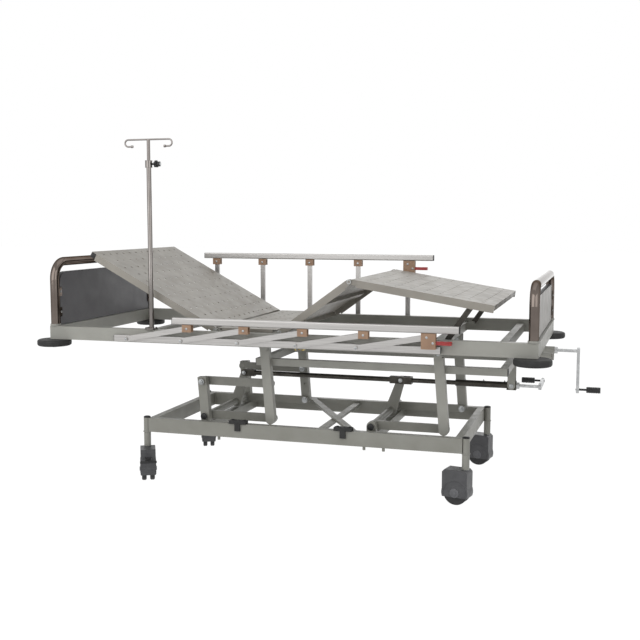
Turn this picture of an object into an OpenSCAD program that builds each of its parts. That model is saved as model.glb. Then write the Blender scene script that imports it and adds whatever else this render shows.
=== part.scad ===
// Crank operated intensive care bed: castor base, parallel arm lift, tilting bed frame,
// four part perforated deck, folding side rails, bows, boards and a telescopic IV pole.
// The origin is on the floor under the middle of the whole bed, with the head end at -X.
// Places along the bed are measured from the middle of the bed frame.

/* [Bed frame] */
// Length of the bed frame
bed_l = 2060; // [1980:10:2140]
// Width of the bed frame
bed_w = 900; // [860:10:960]
// Height of the side members' top face above the floor, bed at its lowest
frame_top = 668; // [656:1:690]
// Height of a side member
side_h = 56; // [52:1:60]
// Width of a frame tube
side_t = 30; // [28:1:34]
// Wall of the frame tubes
tube_wall = 2; // [1.5:0.5:3]
// Diameter of a corner bumper
bumper_d = 144; // [120:1:160]
// Height of a corner bumper
bumper_h = 27; // [20:1:30]

/* [Deck] */
// Distance from the bed frame's outer face to the side of a deck panel
panel_side = 50; // [45:1:70]
// Distance from the head end of the bed frame to the back panel's end
head_gap = 100; // [80:5:140]
// Length of the fixed seat panel between the two hinges
seat_l = 280; // [260:10:320]
// Length of the thigh panel between its hinges
knee_l = 360; // [340:5:380]
// Distance from the calf panel's end to the foot end of the bed frame
foot_gap = 95; // [80:5:130]
// Sheet of the deck panels
sheet_t = 2; // [1.5:0.5:3]
// Depth of a panel's folded edges
lip_h = 30; // [26:1:32]
// Diameter of the holes in the deck
hole_d = 11; // [8:1:14]
// Distance between the holes in the deck
hole_pitch = 58; // [50:1:80]

/* [Bows and boards] */
// Outer diameter of the bow tubes
bow_d = 38; // [32:1:42]
// Height of the head bow above the bed frame
head_bow_h = 294; // [240:1:340]
// Height of the foot bow above the bed frame
foot_bow_h = 231; // [200:1:280]
// Bend radius of the bows
bow_r = 75; // [60:1:100]
// Thickness of the boards
board_t = 18; // [14:1:20]
// Hand gap between a board and its bow
hand_gap = 26; // [22:1:34]

/* [Side rails] */
// Distance between the posts of a side rail
rail_pitch = 247; // [225:1:255]
// Length of a post between its pivots
post_l = 282; // [260:1:300]
// Height of the top rail
rail_h = 28; // [24:1:32]
// Width of the top rail
rail_w = 24; // [22:1:28]

/* [IV pole] */
// Outer diameter of the IV pole
iv_d = 20; // [18:1:24]
// Height of the clamp knob above the bed frame
iv_knob_h = 682; // [600:1:740]
// Height of the hook bar above the clamp knob
iv_hook_h = 100; // [90:1:140]
// Reach of the hook bar from hook to hook
iv_bar_l = 212; // [180:1:240]

/* [Lift] */
// Length of a lift arm between its pivots
arm_l = 300; // [280:1:310]
// Height of a lift arm
arm_h = 36; // [32:1:38]
// Height of the lift's lower pivots above the floor
pivot_z = 276; // [274:1:280]
// Lean of the lift posts towards the head
post_lean = 4.7; // [4:0.1:5.5]
// Height of the lift frame's top face above the floor
lift_top = 535; // [525:1:540]
// Height of the tilt pivots above the floor
tilt_z = 588; // [584:1:590]

/* [Base and castors] */
// Distance from the middle to each side tube of the base
base_y = 329; // [324:1:340]
// Height of the base's top face above the floor
base_top = 268; // [262:1:268]
// Height of the base's side tubes
base_h = 60; // [56:1:64]
// Wheel diameter of the castors
wheel_d = 100; // [90:5:110]
// Width over the hood of a castor
castor_w = 64; // [60:1:70]
// Trail of the castors
trail = 34; // [28:1:38]

/* [Cranks] */
// Radius of the cranks
crank_r = 160; // [140:1:165]
// Diameter of the crank shafts and screws
screw_d = 14; // [12:1:16]
// Length of a crank handle
handle_l = 91; // [80:1:92]

/* [Pose as built] */
// Angle of the raised back panel
back_angle = 28.4; // [10:0.1:40]
// Angle of the raised thigh panel
thigh_angle = 36; // [10:0.5:38]
// Angle that the folded side rail has turned from upright
fold_angle = 79.5; // [79:0.5:80]

/* [Hidden] */
$fn = 48;
// Overrun of cuts
cut = 1;
// Radial clearance of turning fits
fit = 0.05;
// Radial clearance at a linkage's last pin
play = 0.3;
// Overlap where two members are welded
weld = 1;
// Side clearance between parts that turn on one pin
side_gap = 0.5;

// Whole bed
bumper_inset = 20;
crank_out = 219;
bed_mid_x = -(crank_out - bumper_d / 2 + bumper_inset) / 2;

// Bed frame
side_y = (bed_w - side_t) / 2;
frame_bottom = frame_top - side_h;
inner_y = side_y - side_t / 2;
deck_rise = 12;
deck_top = frame_top + deck_rise;
cross_t = 30;
cross_top = deck_top - lip_h;
cross_h = cross_top - frame_bottom;
vent_d = 8;
vent_in = 150;
hinge_drop = 12;
hinge_z = deck_top - hinge_drop;
hinge_d = 12;
ear_t = 3;
ear_r = 10;
lug_t = 6;
lug_corner = ear_r * sin(45);
seat_foot_x = 0;
seat_head_x = seat_foot_x - seat_l;
knee_flat_x = seat_foot_x + knee_l;
panel_w = bed_w - 2 * panel_side;
back_l = bed_l / 2 - head_gap + seat_head_x;
calf_l = bed_l / 2 - foot_gap - knee_flat_x;
panel_gap = 10;
notch = 25;
end_lip = 22;
edge_tube = 22;
edge_tube_side = 3;
rib_w = 26;
rib_h = 17;
rib_l = 700;
back_rib_shares = [0.34, 0.66];
thigh_rib_shares = [0.5];
calf_rib_shares = [0.33, 0.64];
back_beam_in = 85;
back_beam_x = seat_head_x + back_beam_in;
head_beam_in = 410;
head_beam_x = head_beam_in - bed_l / 2;
thigh_beam_in = 105;
thigh_beam_x = seat_foot_x - thigh_beam_in;
foot_pivot_x = 350;
jack_beam_in = 25;
jack_beam_x = foot_pivot_x + arm_l - jack_beam_in;
jack_beam_out = 47;
stay_x = jack_beam_x + jack_beam_out;
calf_beam_in = 145;
calf_beam_x = bed_l / 2 - calf_beam_in;
beam_xs = [head_beam_x, back_beam_x, thigh_beam_x, jack_beam_x, calf_beam_x];
rest_gap = 0.5;
bolt_d = 12;

// Levers and nuts of the back and knee screws
screw_drop = 24;
screw_z = frame_bottom - screw_drop;
lever_drop = hinge_z - screw_z;
back_screw_y = 0;
knee_screw_y = -200;
back_travel = 70;
thigh_travel = 40;
back_lever_turn = back_travel / 2;
thigh_lever_turn = -thigh_travel / 2;
lever_t = 6;
lever_w = 32;
lever_neck = 29;
lever_gap = 2;
lever_root = 60;
nut_w = 30;
nut_h = 32;
nut_l = 40;
nut_pin_d = 12;
nut_pin_reach = nut_w / 2 + lever_gap + lever_t + side_gap;
slot_play = 4.3;
slot_relief = 0.8;
back_nut_x = seat_head_x + lever_drop * tan(back_lever_turn - back_angle);
knee_nut_x = seat_foot_x + lever_drop * tan(thigh_lever_turn + thigh_angle);
nut_stroke = 75;
collar_d = 30;
collar_l = 56;
collar_in = 24;
hanger_t = 20;

// Knee, calf and stay
calf_slope = 9.1;
slope_at = 36;
calf_drop = thigh_angle * calf_slope / slope_at;
stay_drop = 19.4;
stay_end = 89;
stay_at = calf_l - stay_end;
stay_below = 10;
stay_w = 22;
stay_t = 6;
stay_in = 24;
stay_y = panel_w / 2 - stay_in;
stay_pin_d = 10;
stay_play = 3.6;
stay_rise = knee_l * sin(thigh_angle) - stay_at * sin(calf_drop) - stay_below * cos(calf_drop) + stay_drop;
stay_run = seat_foot_x + knee_l * cos(thigh_angle) + stay_at * cos(calf_drop) - stay_below * sin(calf_drop)
    - stay_x;
stay_long = 0.05;
stay_l = norm([stay_run, stay_rise]) + stay_long;
stay_set = 0.14;
stay_angle = atan2(stay_rise, stay_run) - stay_set;

// Bows and boards
bow_in = 19;
bow_x = bed_l / 2 - bow_in;
spigot_d = 24;
spigot_l = 40;
board_lift = 4;
board_bite = 8;
clip_h = 40;
clip_out = 14;
clip_wall = 5;
clip_share = [0.2, 0.5];
board_r = 50;

// Side rails
rail_n = 5;
rail_first_x = -645;
rail_pivot_drop = 38;
rail_pivot_z = frame_top - rail_pivot_drop;
base_bar_h = 26;
base_bar_t = 12;
standoff = 6;
standoff_l = 40;
bar_over_head = 67;
bar_over_foot = 325;
post_w = 22;
post_t = 12;
post_gap = 8;
pin_d = 8;
head_d = 16;
head_h = 4;
post_y = bed_w / 2 + standoff + base_bar_t + post_gap;
rail_y = post_y + post_t / 2;
cap_w = 40;
cap_up = 16;
cap_down = 14;
cap_web = 4;
latch_down = 45;
latch_head = 22;
latch_foot = 34;
rail_over_head = 64;
rail_over_foot = 121;
rail_wall = 2;
lever_x = 24;
lever_low = 21;
release_l = 70;
release_h = 14;
release_tip = 9;

// IV pole
iv_x = -553;
iv_wall = 1.5;
flange_d = 55;
flange_t = 7;
iv_collar_d = 30;
iv_collar_h = 30;
iv_rod_d = 14;
iv_rod_in = 560;
hook_d = 7;
hook_r = 14;
bead_d = 11;
bead_l = 8;
knob_d = 20;
knob_l = 25;
knob_lobes = 5;
lobe_d = 10;
lobe_in = 2;
stem_d = 8;
stem_l = 22;
socket_wall = 4;
socket_places = [[iv_x, -side_y], [-iv_x, -side_y], [iv_x, side_y]];

// Lift
arm_t = 12;
post_in = 82;
post_plane = base_y - post_in;
arm_in = 27;
arm_y = post_plane - arm_in;
lift_post_w = 40;
lift_post_t = 30;
lift_wall = 2.5;
head_pivot_x = -393;
upper_rise = 150;
lift_pin_d = 16;
shaft_d = 30;
bolt_head_d = 26;
bolt_head_h = 9;
lift_rail = 30;
lift_rail_y = post_plane - lift_post_t / 2 - lift_rail / 2 + weld;
lift_head_x = -165;
lift_foot_x = 896;
post_head_x = head_pivot_x + arm_l;
post_foot_x = foot_pivot_x + arm_l;
lean_sin = sin(post_lean);
lean_cos = cos(post_lean);
tilt_len = (tilt_z - pivot_z) / lean_cos;
tilt_x = post_head_x - tilt_len * lean_sin;
jack_x = post_foot_x - tilt_len * lean_sin;
jack_clear = 16;
jack_post_l = tilt_len - jack_clear;
jack_d = 22;
jack_in = 230;
jack_cap = 20;
jack_slot = 3;
cheek_t = 5;
tie_y = 100;
lever_len = 146;
lever_lean = 18.3;
rocker_t = 10;
rocker_base = 26;
rocker_tip = 18;
tie_pin_d = 14;
tie_d = 22;
fork_t = 6;
fork_l = 50;
fork_w = 32;
tie_pin_reach = rocker_t / 2 + 3 * side_gap + 2 * fork_t;

// Height screw
thrust_x = lift_foot_x - cross_t / 2;
thrust_z = pivot_z + lever_len * cos(lever_lean);
block = 36;
block_l = 40;
trunnion_out = block / 2 + 2 * side_gap + fork_t;
tube_out_d = 28;
tube_in_d = 20;
tube_out_l = 222;
tube_overlap = 120;
tube_bore = 15;
slide_fit = 0.1;
height_slot = 8.3;
height_crank_x = 1000;
height_screw_end = 560;

// Base
base_t = 30;
base_wall = 3;
base_head_x = -624;
base_foot_x = 738;
base_bottom = base_top - base_h;
lift_beam_w = 40;
lift_beam_h = 40;
leg_d = 30;
leg_set = 2;
leg_gap = 2;
castor_head_x = base_head_x - leg_d / 2 + leg_set;
castor_foot_x = base_foot_x + leg_d / 2 - leg_set;
stop_l = 76;
stop_w = 24;
stop_h = 14;
stop_stem = 8;
stop_xs = [-208, 252];
brace_w = 30;
brace_t = 11;
brace_lap = 1;
brace_head_x = -82;
brace_foot_x = 285;
cross_bar_x = 140;
peg_d = 12;
peg_l = 16;
peg_xs = [-300, 337, 418];

// Castors
hood_top = 142;
hood_low = 32;
hood_r = 55;
hood_front = 18;
hood_shoulder = 2;
hood_corner = 10;
stem_out_d = 18;
stem_in = 50;
wheel_t = 20;
web_t = 12;
wheel_gap = 2;
axle_d = 12;
tyre_round = 6;
pedal_w = 70;
pedal_l = 46;
pedal_t = 7;
pedal_z = 104;
pedal_pin_d = 8;
pedal_out = 10;
pedal_x = trail + hood_r + pedal_out;
pedal_lug_l = 24;
castors = [
    [castor_head_x, -base_y, -62],
    [castor_foot_x, -base_y, 168],
    [castor_head_x, base_y, -66],
    [castor_foot_x, base_y, 168]
];

// Cranks
back_crank_x = bed_l / 2 + crank_out - handle_l;
knee_drive_out = 42;
knee_drive_x = bed_l / 2 + knee_drive_out;
arm_bar_w = 22;
arm_bar_t = 12;
arm_boss_d = 28;
eye_d = 16;
eye_t = 10;
handle_pin_d = 6;
handle_rod_d = 9;
grip_d = 24;
grip_l = 56;

// Shared shapes
module at_bed() {
    translate([bed_mid_x, 0, 0]) children();
}

module block_at(size, at) {
    translate(at) cube(size, center = true);
}

module rod_x(d, x0, x1) {
    translate([x0, 0, 0]) rotate([0, 90, 0]) cylinder(d = d, h = x1 - x0);
}

module rod_y(d, y0, y1) {
    translate([0, y1, 0]) rotate([90, 0, 0]) cylinder(d = d, h = y1 - y0);
}

module both_sides() {
    children();
    mirror([0, 1, 0]) children();
}

// A plate with two round ends, along X from one pin centre to the other
module link_plate(l, w, y0, y1) {
    rod_y(w, y0, y1);
    translate([l, 0, 0]) rod_y(w, y0, y1);
    block_at([l, y1 - y0, w], [l / 2, (y0 + y1) / 2, 0]);
}

// A hole along Y stretched along X
module slot_y(d, x0, x1, y0, y1) {
    translate([x0, 0, 0]) rod_y(d, y0, y1);
    translate([x1, 0, 0]) rod_y(d, y0, y1);
    block_at([x1 - x0, y1 - y0, d], [(x0 + x1) / 2, (y0 + y1) / 2, 0]);
}

// Base frame: side tubes, cross tubes and castor sockets welded into one
module base_tubes(wall) {
    base_l = base_foot_x - base_head_x - 2 * wall;
    base_mid = (base_foot_x + base_head_x) / 2;
    base_z = base_top - base_h / 2;
    between = 2 * base_y - base_t + (wall > 0 ? base_t : 0);
    both_sides() block_at([base_l, base_t - 2 * wall, base_h - 2 * wall], [base_mid, base_y, base_z]);
    for (x = [base_head_x + base_t / 2, base_foot_x - base_t / 2])
        block_at([base_t - 2 * wall, between, base_h - 2 * wall], [x, 0, base_z]);
    for (x = [head_pivot_x, foot_pivot_x])
        block_at([lift_beam_w - 2 * wall, between, lift_beam_h - 2 * wall],
            [x, 0, base_bottom + lift_beam_h / 2]);
}

module base_frame() {
    color("#8f8e88") at_bed() difference() {
        union() {
            difference() {
                base_tubes(0);
                base_tubes(base_wall);
            }
            base_braces();
            for (c = castors) translate([c.x, c.y, hood_top + leg_gap])
                cylinder(d = leg_d, h = base_top - hood_top - leg_gap);
            for (x = peg_xs) translate([x, -base_y, base_bottom - peg_l])
                cylinder(d = peg_d, h = peg_l + base_wall / 2);
        }
        for (c = castors) translate([c.x, c.y, hood_top])
            cylinder(d = stem_out_d + 2 * fit, h = leg_gap + stem_in + play);
        both_sides() for (x = [base_head_x + vent_in, base_foot_x - vent_in])
            translate([x, base_y, base_bottom - cut]) cylinder(d = vent_d, h = base_wall + 2 * cut);
    }
}

// A flat bar between the side tubes and another that crosses over it at an angle
module base_braces() {
    run = brace_foot_x - brace_head_x;
    across = 2 * base_y - base_t + 2 * weld;
    top = base_top - brace_t / 2;
    block_at([brace_w, across, brace_t], [cross_bar_x, 0, top - brace_t + brace_lap]);
    intersection() {
        translate([(brace_head_x + brace_foot_x) / 2, 0, top]) rotate([0, 0, -atan2(across, run)])
            block_at([2 * across, brace_w, brace_t], [0, 0, 0]);
        block_at([2 * run, across, base_h], [(brace_head_x + brace_foot_x) / 2, 0, base_top - base_h / 2]);
    }
}

// Rubber stops on the near side tube
module base_stops() {
    color("#151515") at_bed() for (x = stop_xs) {
        block_at([stop_l, stop_w + stop_stem, stop_h],
            [x, -base_y - base_t / 2 - stop_stem + (stop_w + stop_stem) / 2, base_top + stop_h / 2]);
        block_at([stop_w, stop_stem, stop_h + base_h / 2],
            [x, -base_y - base_t / 2 - stop_stem / 2, base_top + stop_h - (stop_h + base_h / 2) / 2]);
    }
}

// Castors, drawn with the stem on the Z axis and the wheels trailing along +X
module at_castor(i) {
    translate([castors[i - 1].x, castors[i - 1].y, 0]) rotate([0, 0, castors[i - 1].z]) children();
}

module hood_profile() {
    wheel_r = wheel_d / 2;
    back = trail + hood_r - hood_shoulder;
    difference() {
        union() {
            translate([trail, wheel_r]) circle(r = hood_r, $fn = 96);
            polygon([[-hood_front, wheel_r], [back, wheel_r], [back, hood_top - hood_corner],
                [back - hood_corner, hood_top], [hood_corner - hood_front, hood_top],
                [-hood_front, hood_top - hood_corner]]);
        }
        translate([-2 * hood_r, -hood_r]) square([5 * hood_r, hood_r + hood_low]);
    }
}

module castor_hood(i) {
    wheel_r = wheel_d / 2;
    pocket_r = wheel_r + wheel_gap;
    pocket_t = (castor_w - web_t) / 2 - ear_t;
    color("#4c4c4e") at_bed() at_castor(i) {
        difference() {
            rotate([90, 0, 0]) linear_extrude(castor_w, center = true) hood_profile();
            both_sides() translate([trail, 0, wheel_r])
                rod_y(2 * pocket_r, web_t / 2, web_t / 2 + pocket_t, $fn = 96);
            translate([trail, 0, wheel_r]) rod_y(axle_d + 2 * fit, -castor_w, castor_w);
        }
        translate([0, 0, hood_top - cut]) cylinder(d = stem_out_d, h = leg_gap + stem_in + cut);
        if (i == 1 || i == 4) difference() {
            pedal_lugs();
            translate([trail, 0, wheel_r]) rod_y(2 * pocket_r, -castor_w, castor_w, $fn = 96);
        }
    }
}

module pedal_lugs() {
    both_sides() {
        translate([pedal_x, 0, pedal_z]) rod_y(2 * pedal_pin_d, web_t + side_gap, web_t + side_gap + ear_t);
        block_at([pedal_lug_l, ear_t, 2 * pedal_pin_d],
            [pedal_x - pedal_lug_l / 2, web_t + side_gap + ear_t / 2, pedal_z]);
    }
    translate([pedal_x, 0, pedal_z]) rod_y(pedal_pin_d, -web_t - ear_t, web_t + ear_t);
}

module castor_wheels(i) {
    wheel_r = wheel_d / 2;
    wheel_y = web_t / 2 + ((castor_w - web_t) / 2 - ear_t - wheel_t) / 2;
    color("#1d1d1e") at_bed() at_castor(i) translate([trail, 0, wheel_r]) {
        rod_y(axle_d, -castor_w / 2, castor_w / 2);
        both_sides() translate([0, wheel_y + wheel_t, 0]) rotate([90, 0, 0])
            rotate_extrude($fn = 96) tyre_profile();
    }
}

module tyre_profile() {
    wheel_r = wheel_d / 2;
    square([wheel_r - tyre_round, wheel_t]);
    translate([0, tyre_round]) square([wheel_r, wheel_t - 2 * tyre_round]);
    for (y = [tyre_round, wheel_t - tyre_round]) translate([wheel_r - tyre_round, y])
        circle(r = tyre_round);
}

module brake_pedal(i) {
    color("#1b1b1c") at_bed() at_castor(i) translate([pedal_x, 0, pedal_z]) difference() {
        union() {
            rod_y(2 * pedal_pin_d, -web_t + side_gap, web_t - side_gap);
            block_at([pedal_l, 2 * web_t - 2 * side_gap, pedal_t], [pedal_l / 2, 0, 0]);
            block_at([pedal_t + pedal_pin_d, pedal_w, pedal_t], [pedal_l, 0, 0]);
        }
        rod_y(pedal_pin_d + 2 * fit, -castor_w, castor_w);
    }
}

// Lift stands on the base's lift beams
module lift_stands() {
    beam_top = base_bottom + lift_beam_h;
    color("#8f8e88") at_bed() both_sides() {
        translate([head_pivot_x, post_plane, pivot_z]) difference() {
            union() {
                intersection() {
                    rotate([0, -post_lean, 0])
                        post_tube(upper_rise + lift_post_w / 2, pivot_z - beam_top + lift_post_w);
                    block_at([4 * lift_post_w, lift_post_t, upper_rise + 3 * lift_post_w],
                        [0, 0, beam_top - pivot_z + (upper_rise + 3 * lift_post_w) / 2]);
                }
                rotate([0, -post_lean, 0]) translate([0, 0, upper_rise]) {
                    rod_y(lift_pin_d, -lift_post_t / 2 - (post_plane - lift_post_t / 2 - arm_y)
                        - arm_t / 2 - side_gap, lift_post_t / 2);
                    rod_y(bolt_head_d, lift_post_t / 2, lift_post_t / 2 + bolt_head_h);
                }
            }
            rod_y(lift_pin_d + 2 * fit, -lift_post_t, lift_post_t);
        }
        translate([foot_pivot_x, post_plane, pivot_z]) difference() {
            union() {
                rod_y(lift_post_w, -lift_post_t / 2, lift_post_t / 2);
                block_at([lift_post_w, lift_post_t, pivot_z - beam_top],
                    [0, 0, (beam_top - pivot_z) / 2]);
            }
            rod_y(lift_pin_d + 2 * fit, -lift_post_t, lift_post_t);
        }
    }
}

// A hollow post along Z, open at its top, from below its lower pivot to a given height
module post_tube(top, below) {
    difference() {
        block_at([lift_post_w, lift_post_t, top + below], [0, 0, (top - below) / 2]);
        block_at([lift_post_w - 2 * lift_wall, lift_post_t - 2 * lift_wall, top],
            [0, 0, lift_post_w / 2 + top / 2]);
    }
}

// Rocker: cross shaft with two lift arms and the lever that the tie rod moves
module rocker(gap) {
    arm_out = arm_y + arm_t / 2;
    difference() {
        union() {
            rod_y(shaft_d, -arm_out, arm_out);
            both_sides() {
                link_plate(arm_l, arm_h, arm_y - arm_t / 2, arm_out);
                rod_y(lift_pin_d, arm_out - cut, post_plane + lift_post_t / 2 + side_gap + cut);
                rod_y(shaft_d, arm_out - cut, post_plane - lift_post_t / 2 - side_gap);
                rod_y(bolt_head_d, post_plane + lift_post_t / 2 + side_gap,
                    post_plane + lift_post_t / 2 + side_gap + bolt_head_h);
            }
            translate([0, tie_y, 0]) rotate([0, lever_lean, 0]) {
                rotate([90, 0, 0]) linear_extrude(rocker_t, center = true) {
                    circle(r = rocker_base);
                    translate([0, lever_len]) circle(r = rocker_tip);
                    polygon([[-rocker_base, 0], [rocker_base, 0], [rocker_tip, lever_len],
                        [-rocker_tip, lever_len]]);
                }
                translate([0, 0, lever_len]) rod_y(tie_pin_d, -tie_pin_reach, tie_pin_reach);
            }
        }
        translate([arm_l, 0, 0]) rod_y(lift_pin_d + 2 * gap, -post_plane, post_plane);
    }
}

module head_rocker() {
    color("#87867f") at_bed() translate([head_pivot_x, 0, pivot_z]) rocker(fit);
}

module foot_rocker() {
    color("#87867f") at_bed() translate([foot_pivot_x, 0, pivot_z]) rocker(play);
}

module head_upper_arms() {
    color("#87867f") at_bed() both_sides()
        translate([head_pivot_x - upper_rise * lean_sin, 0, pivot_z + upper_rise * lean_cos])
            difference() {
                link_plate(arm_l, arm_h, arm_y - arm_t / 2, arm_y + arm_t / 2);
                rod_y(lift_pin_d + 2 * fit, 0, post_plane);
                translate([arm_l, 0, 0]) rod_y(lift_pin_d + 2 * play, 0, post_plane);
            }
}

// A fork end for a lever of the given thickness, open towards -X, with its pin at the origin
module fork_end(inner, l) {
    difference() {
        union() {
            rod_y(fork_w, -inner - fork_t, inner + fork_t);
            block_at([l, 2 * inner + 2 * fork_t, fork_w], [l / 2, 0, 0]);
        }
        block_at([l + fork_w, 2 * inner, fork_w + 2 * cut], [(l - fork_w) / 2 - fork_t - cut, 0, 0]);
    }
}

// Tie rod between the tops of the two levers
module tie_rod() {
    run = foot_pivot_x - head_pivot_x;
    inner = rocker_t / 2 + side_gap;
    lever_x0 = head_pivot_x + lever_len * sin(lever_lean);
    color("#3d3b38") at_bed() translate([lever_x0, tie_y, thrust_z]) difference() {
        union() {
            fork_end(inner, fork_l);
            translate([run, 0, 0]) rotate([0, 0, 180]) fork_end(inner, fork_l);
            rod_x(tie_d, fork_l - fork_t, run - fork_l + fork_t);
        }
        rod_y(tie_pin_d + 2 * fit, -fork_w, fork_w);
        translate([run, 0, 0]) rod_y(tie_pin_d + 2 * play, -fork_w, fork_w);
    }
}

// Height screw: thrust block on trunnions with the outer tube
module height_screw_tube() {
    color("#45433f") at_bed() translate([thrust_x, tie_y, thrust_z]) difference() {
        union() {
            block_at([block_l, block, block], [0, 0, 0]);
            rod_y(tie_pin_d, -trunnion_out, trunnion_out);
            rod_x(tube_out_d, -block_l / 2 - tube_out_l, -block_l / 2 + cut);
        }
        rod_x(tube_in_d + 2 * slide_fit, -block_l / 2 - tube_out_l - cut, -block_l / 2);
        rod_x(screw_d + 2 * fit, -block_l, block_l);
    }
}

// Nut tube that slides in the outer tube and moves the foot lever
module height_nut_tube() {
    inner = rocker_t / 2 + 2 * side_gap + fork_t;
    x0 = foot_pivot_x + lever_len * sin(lever_lean);
    x1 = thrust_x - block_l / 2 - tube_out_l + tube_overlap;
    color("#55534e") at_bed() translate([x0, tie_y, thrust_z]) difference() {
        union() {
            fork_end(inner, fork_l);
            rod_x(tube_in_d, fork_l - fork_t, x1 - x0);
        }
        slot_y(tie_pin_d + 2 * side_gap, -height_slot, side_gap, -fork_w, fork_w);
        rod_x(tube_bore, fork_l + cut, x1 - x0 + cut);
    }
}

// Lift frame: leaning posts, side rails and cross rails, with the screw's bracket
module lift_post(x, top) {
    translate([x, post_plane, pivot_z]) rotate([0, -post_lean, 0]) difference() {
        union() {
            rod_y(lift_post_w, -lift_post_t / 2, lift_post_t / 2);
            block_at([lift_post_w, lift_post_t, top], [0, 0, top / 2]);
            rod_y(lift_pin_d, arm_y - arm_t / 2 - side_gap - post_plane, 0);
        }
    }
}

module lift_frame_outer() {
    rail_z = lift_top - lift_rail / 2;
    rail_l = lift_foot_x - lift_head_x;
    both_sides() {
        lift_post(post_head_x, tilt_len);
        translate([post_head_x, post_plane, pivot_z]) rotate([0, -post_lean, 0]) {
            translate([0, 0, tilt_len]) rod_y(lift_post_w, -lift_post_t / 2, lift_post_t / 2);
            translate([0, 0, upper_rise]) rod_y(lift_pin_d, arm_y - arm_t / 2 - side_gap - post_plane, 0);
        }
        lift_post(post_foot_x, jack_post_l);
        block_at([rail_l, lift_rail, lift_rail],
            [(lift_foot_x + lift_head_x) / 2, lift_rail_y, rail_z]);
    }
    for (x = [lift_head_x + lift_rail / 2, thrust_x])
        block_at([lift_rail, 2 * lift_rail_y, lift_rail], [x, 0, rail_z]);
    for (s = [-1, 1]) translate([thrust_x, tie_y + s * (block / 2 + side_gap + fork_t / 2), 0]) {
        translate([0, 0, thrust_z]) rod_y(fork_w, -fork_t / 2, fork_t / 2);
        block_at([fork_w, fork_t, rail_z - thrust_z], [0, 0, (rail_z + thrust_z) / 2]);
    }
}

module lift_frame_inner() {
    rail_z = lift_top - lift_rail / 2;
    rail_in = lift_rail - 2 * tube_wall;
    both_sides() {
        translate([post_head_x, post_plane, pivot_z]) rotate([0, -post_lean, 0])
            block_at([lift_post_w - 2 * lift_wall, lift_post_t - 2 * lift_wall,
                upper_rise - 2 * lift_post_w], [0, 0, upper_rise / 2]);
        translate([post_head_x, post_plane, pivot_z]) rotate([0, -post_lean, 0])
            translate([0, 0, upper_rise / 2]) rod_y(vent_d, -lift_post_t, 0);
        translate([post_foot_x, post_plane, pivot_z]) rotate([0, -post_lean, 0]) {
            block_at([lift_post_w - 2 * lift_wall, lift_post_t - 2 * lift_wall,
                jack_post_l - jack_cap - lift_post_w / 2],
                [0, 0, (jack_post_l - jack_cap + lift_post_w / 2) / 2]);
            translate([0, 0, jack_post_l - jack_cap - cut])
                cylinder(d = jack_d + 2 * slide_fit, h = jack_cap + 2 * cut);
        }
        block_at([lift_foot_x - lift_head_x + 2 * cut, rail_in, rail_in],
            [(lift_foot_x + lift_head_x) / 2, lift_rail_y, rail_z]);
        translate([tilt_x, post_plane, tilt_z]) rod_y(lift_pin_d + 2 * fit, -lift_post_t, lift_post_t);
    }
    for (x = [lift_head_x + lift_rail / 2, thrust_x])
        block_at([rail_in, 2 * lift_rail_y, rail_in], [x, 0, rail_z]);
    translate([thrust_x, tie_y, thrust_z]) rod_y(tie_pin_d + 2 * fit, -2 * block, 2 * block);
}

module lift_frame() {
    color("#98978f") at_bed() difference() {
        lift_frame_outer();
        lift_frame_inner();
    }
}

// Jack rods in the foot posts, with an eye under the bed frame
module tilt_jacks() {
    color("#a9a9a6") at_bed() both_sides() translate([jack_x, post_plane, tilt_z])
        rotate([0, -post_lean, 0]) {
            translate([0, 0, -jack_in]) cylinder(d = jack_d, h = jack_in);
            rod_y(lift_post_t, -lift_post_t / 2 + side_gap, lift_post_t / 2 - side_gap);
            rod_y(lift_pin_d, -lift_post_t / 2 - side_gap - cheek_t, lift_post_t / 2 + side_gap + cheek_t);
        }
}

// Bed frame: side members, end members, beams, hinge lugs, clevises and bearing housings
module frame_tubes(wall) {
    side_z = frame_top - side_h / 2;
    across = 2 * side_y - side_t + (wall > 0 ? side_t : 0);
    both_sides() block_at([bed_l - 2 * wall, side_t - 2 * wall, side_h - 2 * wall], [0, side_y, side_z]);
    for (s = [-1, 1])
        block_at([side_t - 2 * wall, across, side_h - 2 * wall], [s * (bed_l - side_t) / 2, 0, side_z]);
    for (x = beam_xs)
        block_at([cross_t - 2 * wall, across, cross_h - 2 * wall], [x, 0, cross_top - cross_h / 2]);
}

// Lug plate that carries a panel's hinge pin, from a beam to the hinge
module hinge_lug(beam_x, pin_x) {
    y0 = panel_w / 2 - ear_t - side_gap - lug_t;
    side = sign(pin_x - beam_x);
    translate([0, y0 + lug_t, 0]) rotate([90, 0, 0]) linear_extrude(lug_t) {
        translate([pin_x, hinge_z]) circle(r = ear_r);
        polygon([[beam_x - side * cross_t / 2, cross_top - rest_gap - cross_h / 2],
            [beam_x + side * cross_t / 2, cross_top - rest_gap - cross_h / 2],
            [pin_x + side * lug_corner, hinge_z - lug_corner],
            [pin_x - side * lug_corner, hinge_z + lug_corner],
            [beam_x - side * cross_t / 2, cross_top + rest_gap]]);
    }
    translate([pin_x, 0, hinge_z])
        rod_y(hinge_d, y0 + lug_t - cut, panel_w / 2 + side_gap + head_h);
}

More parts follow.
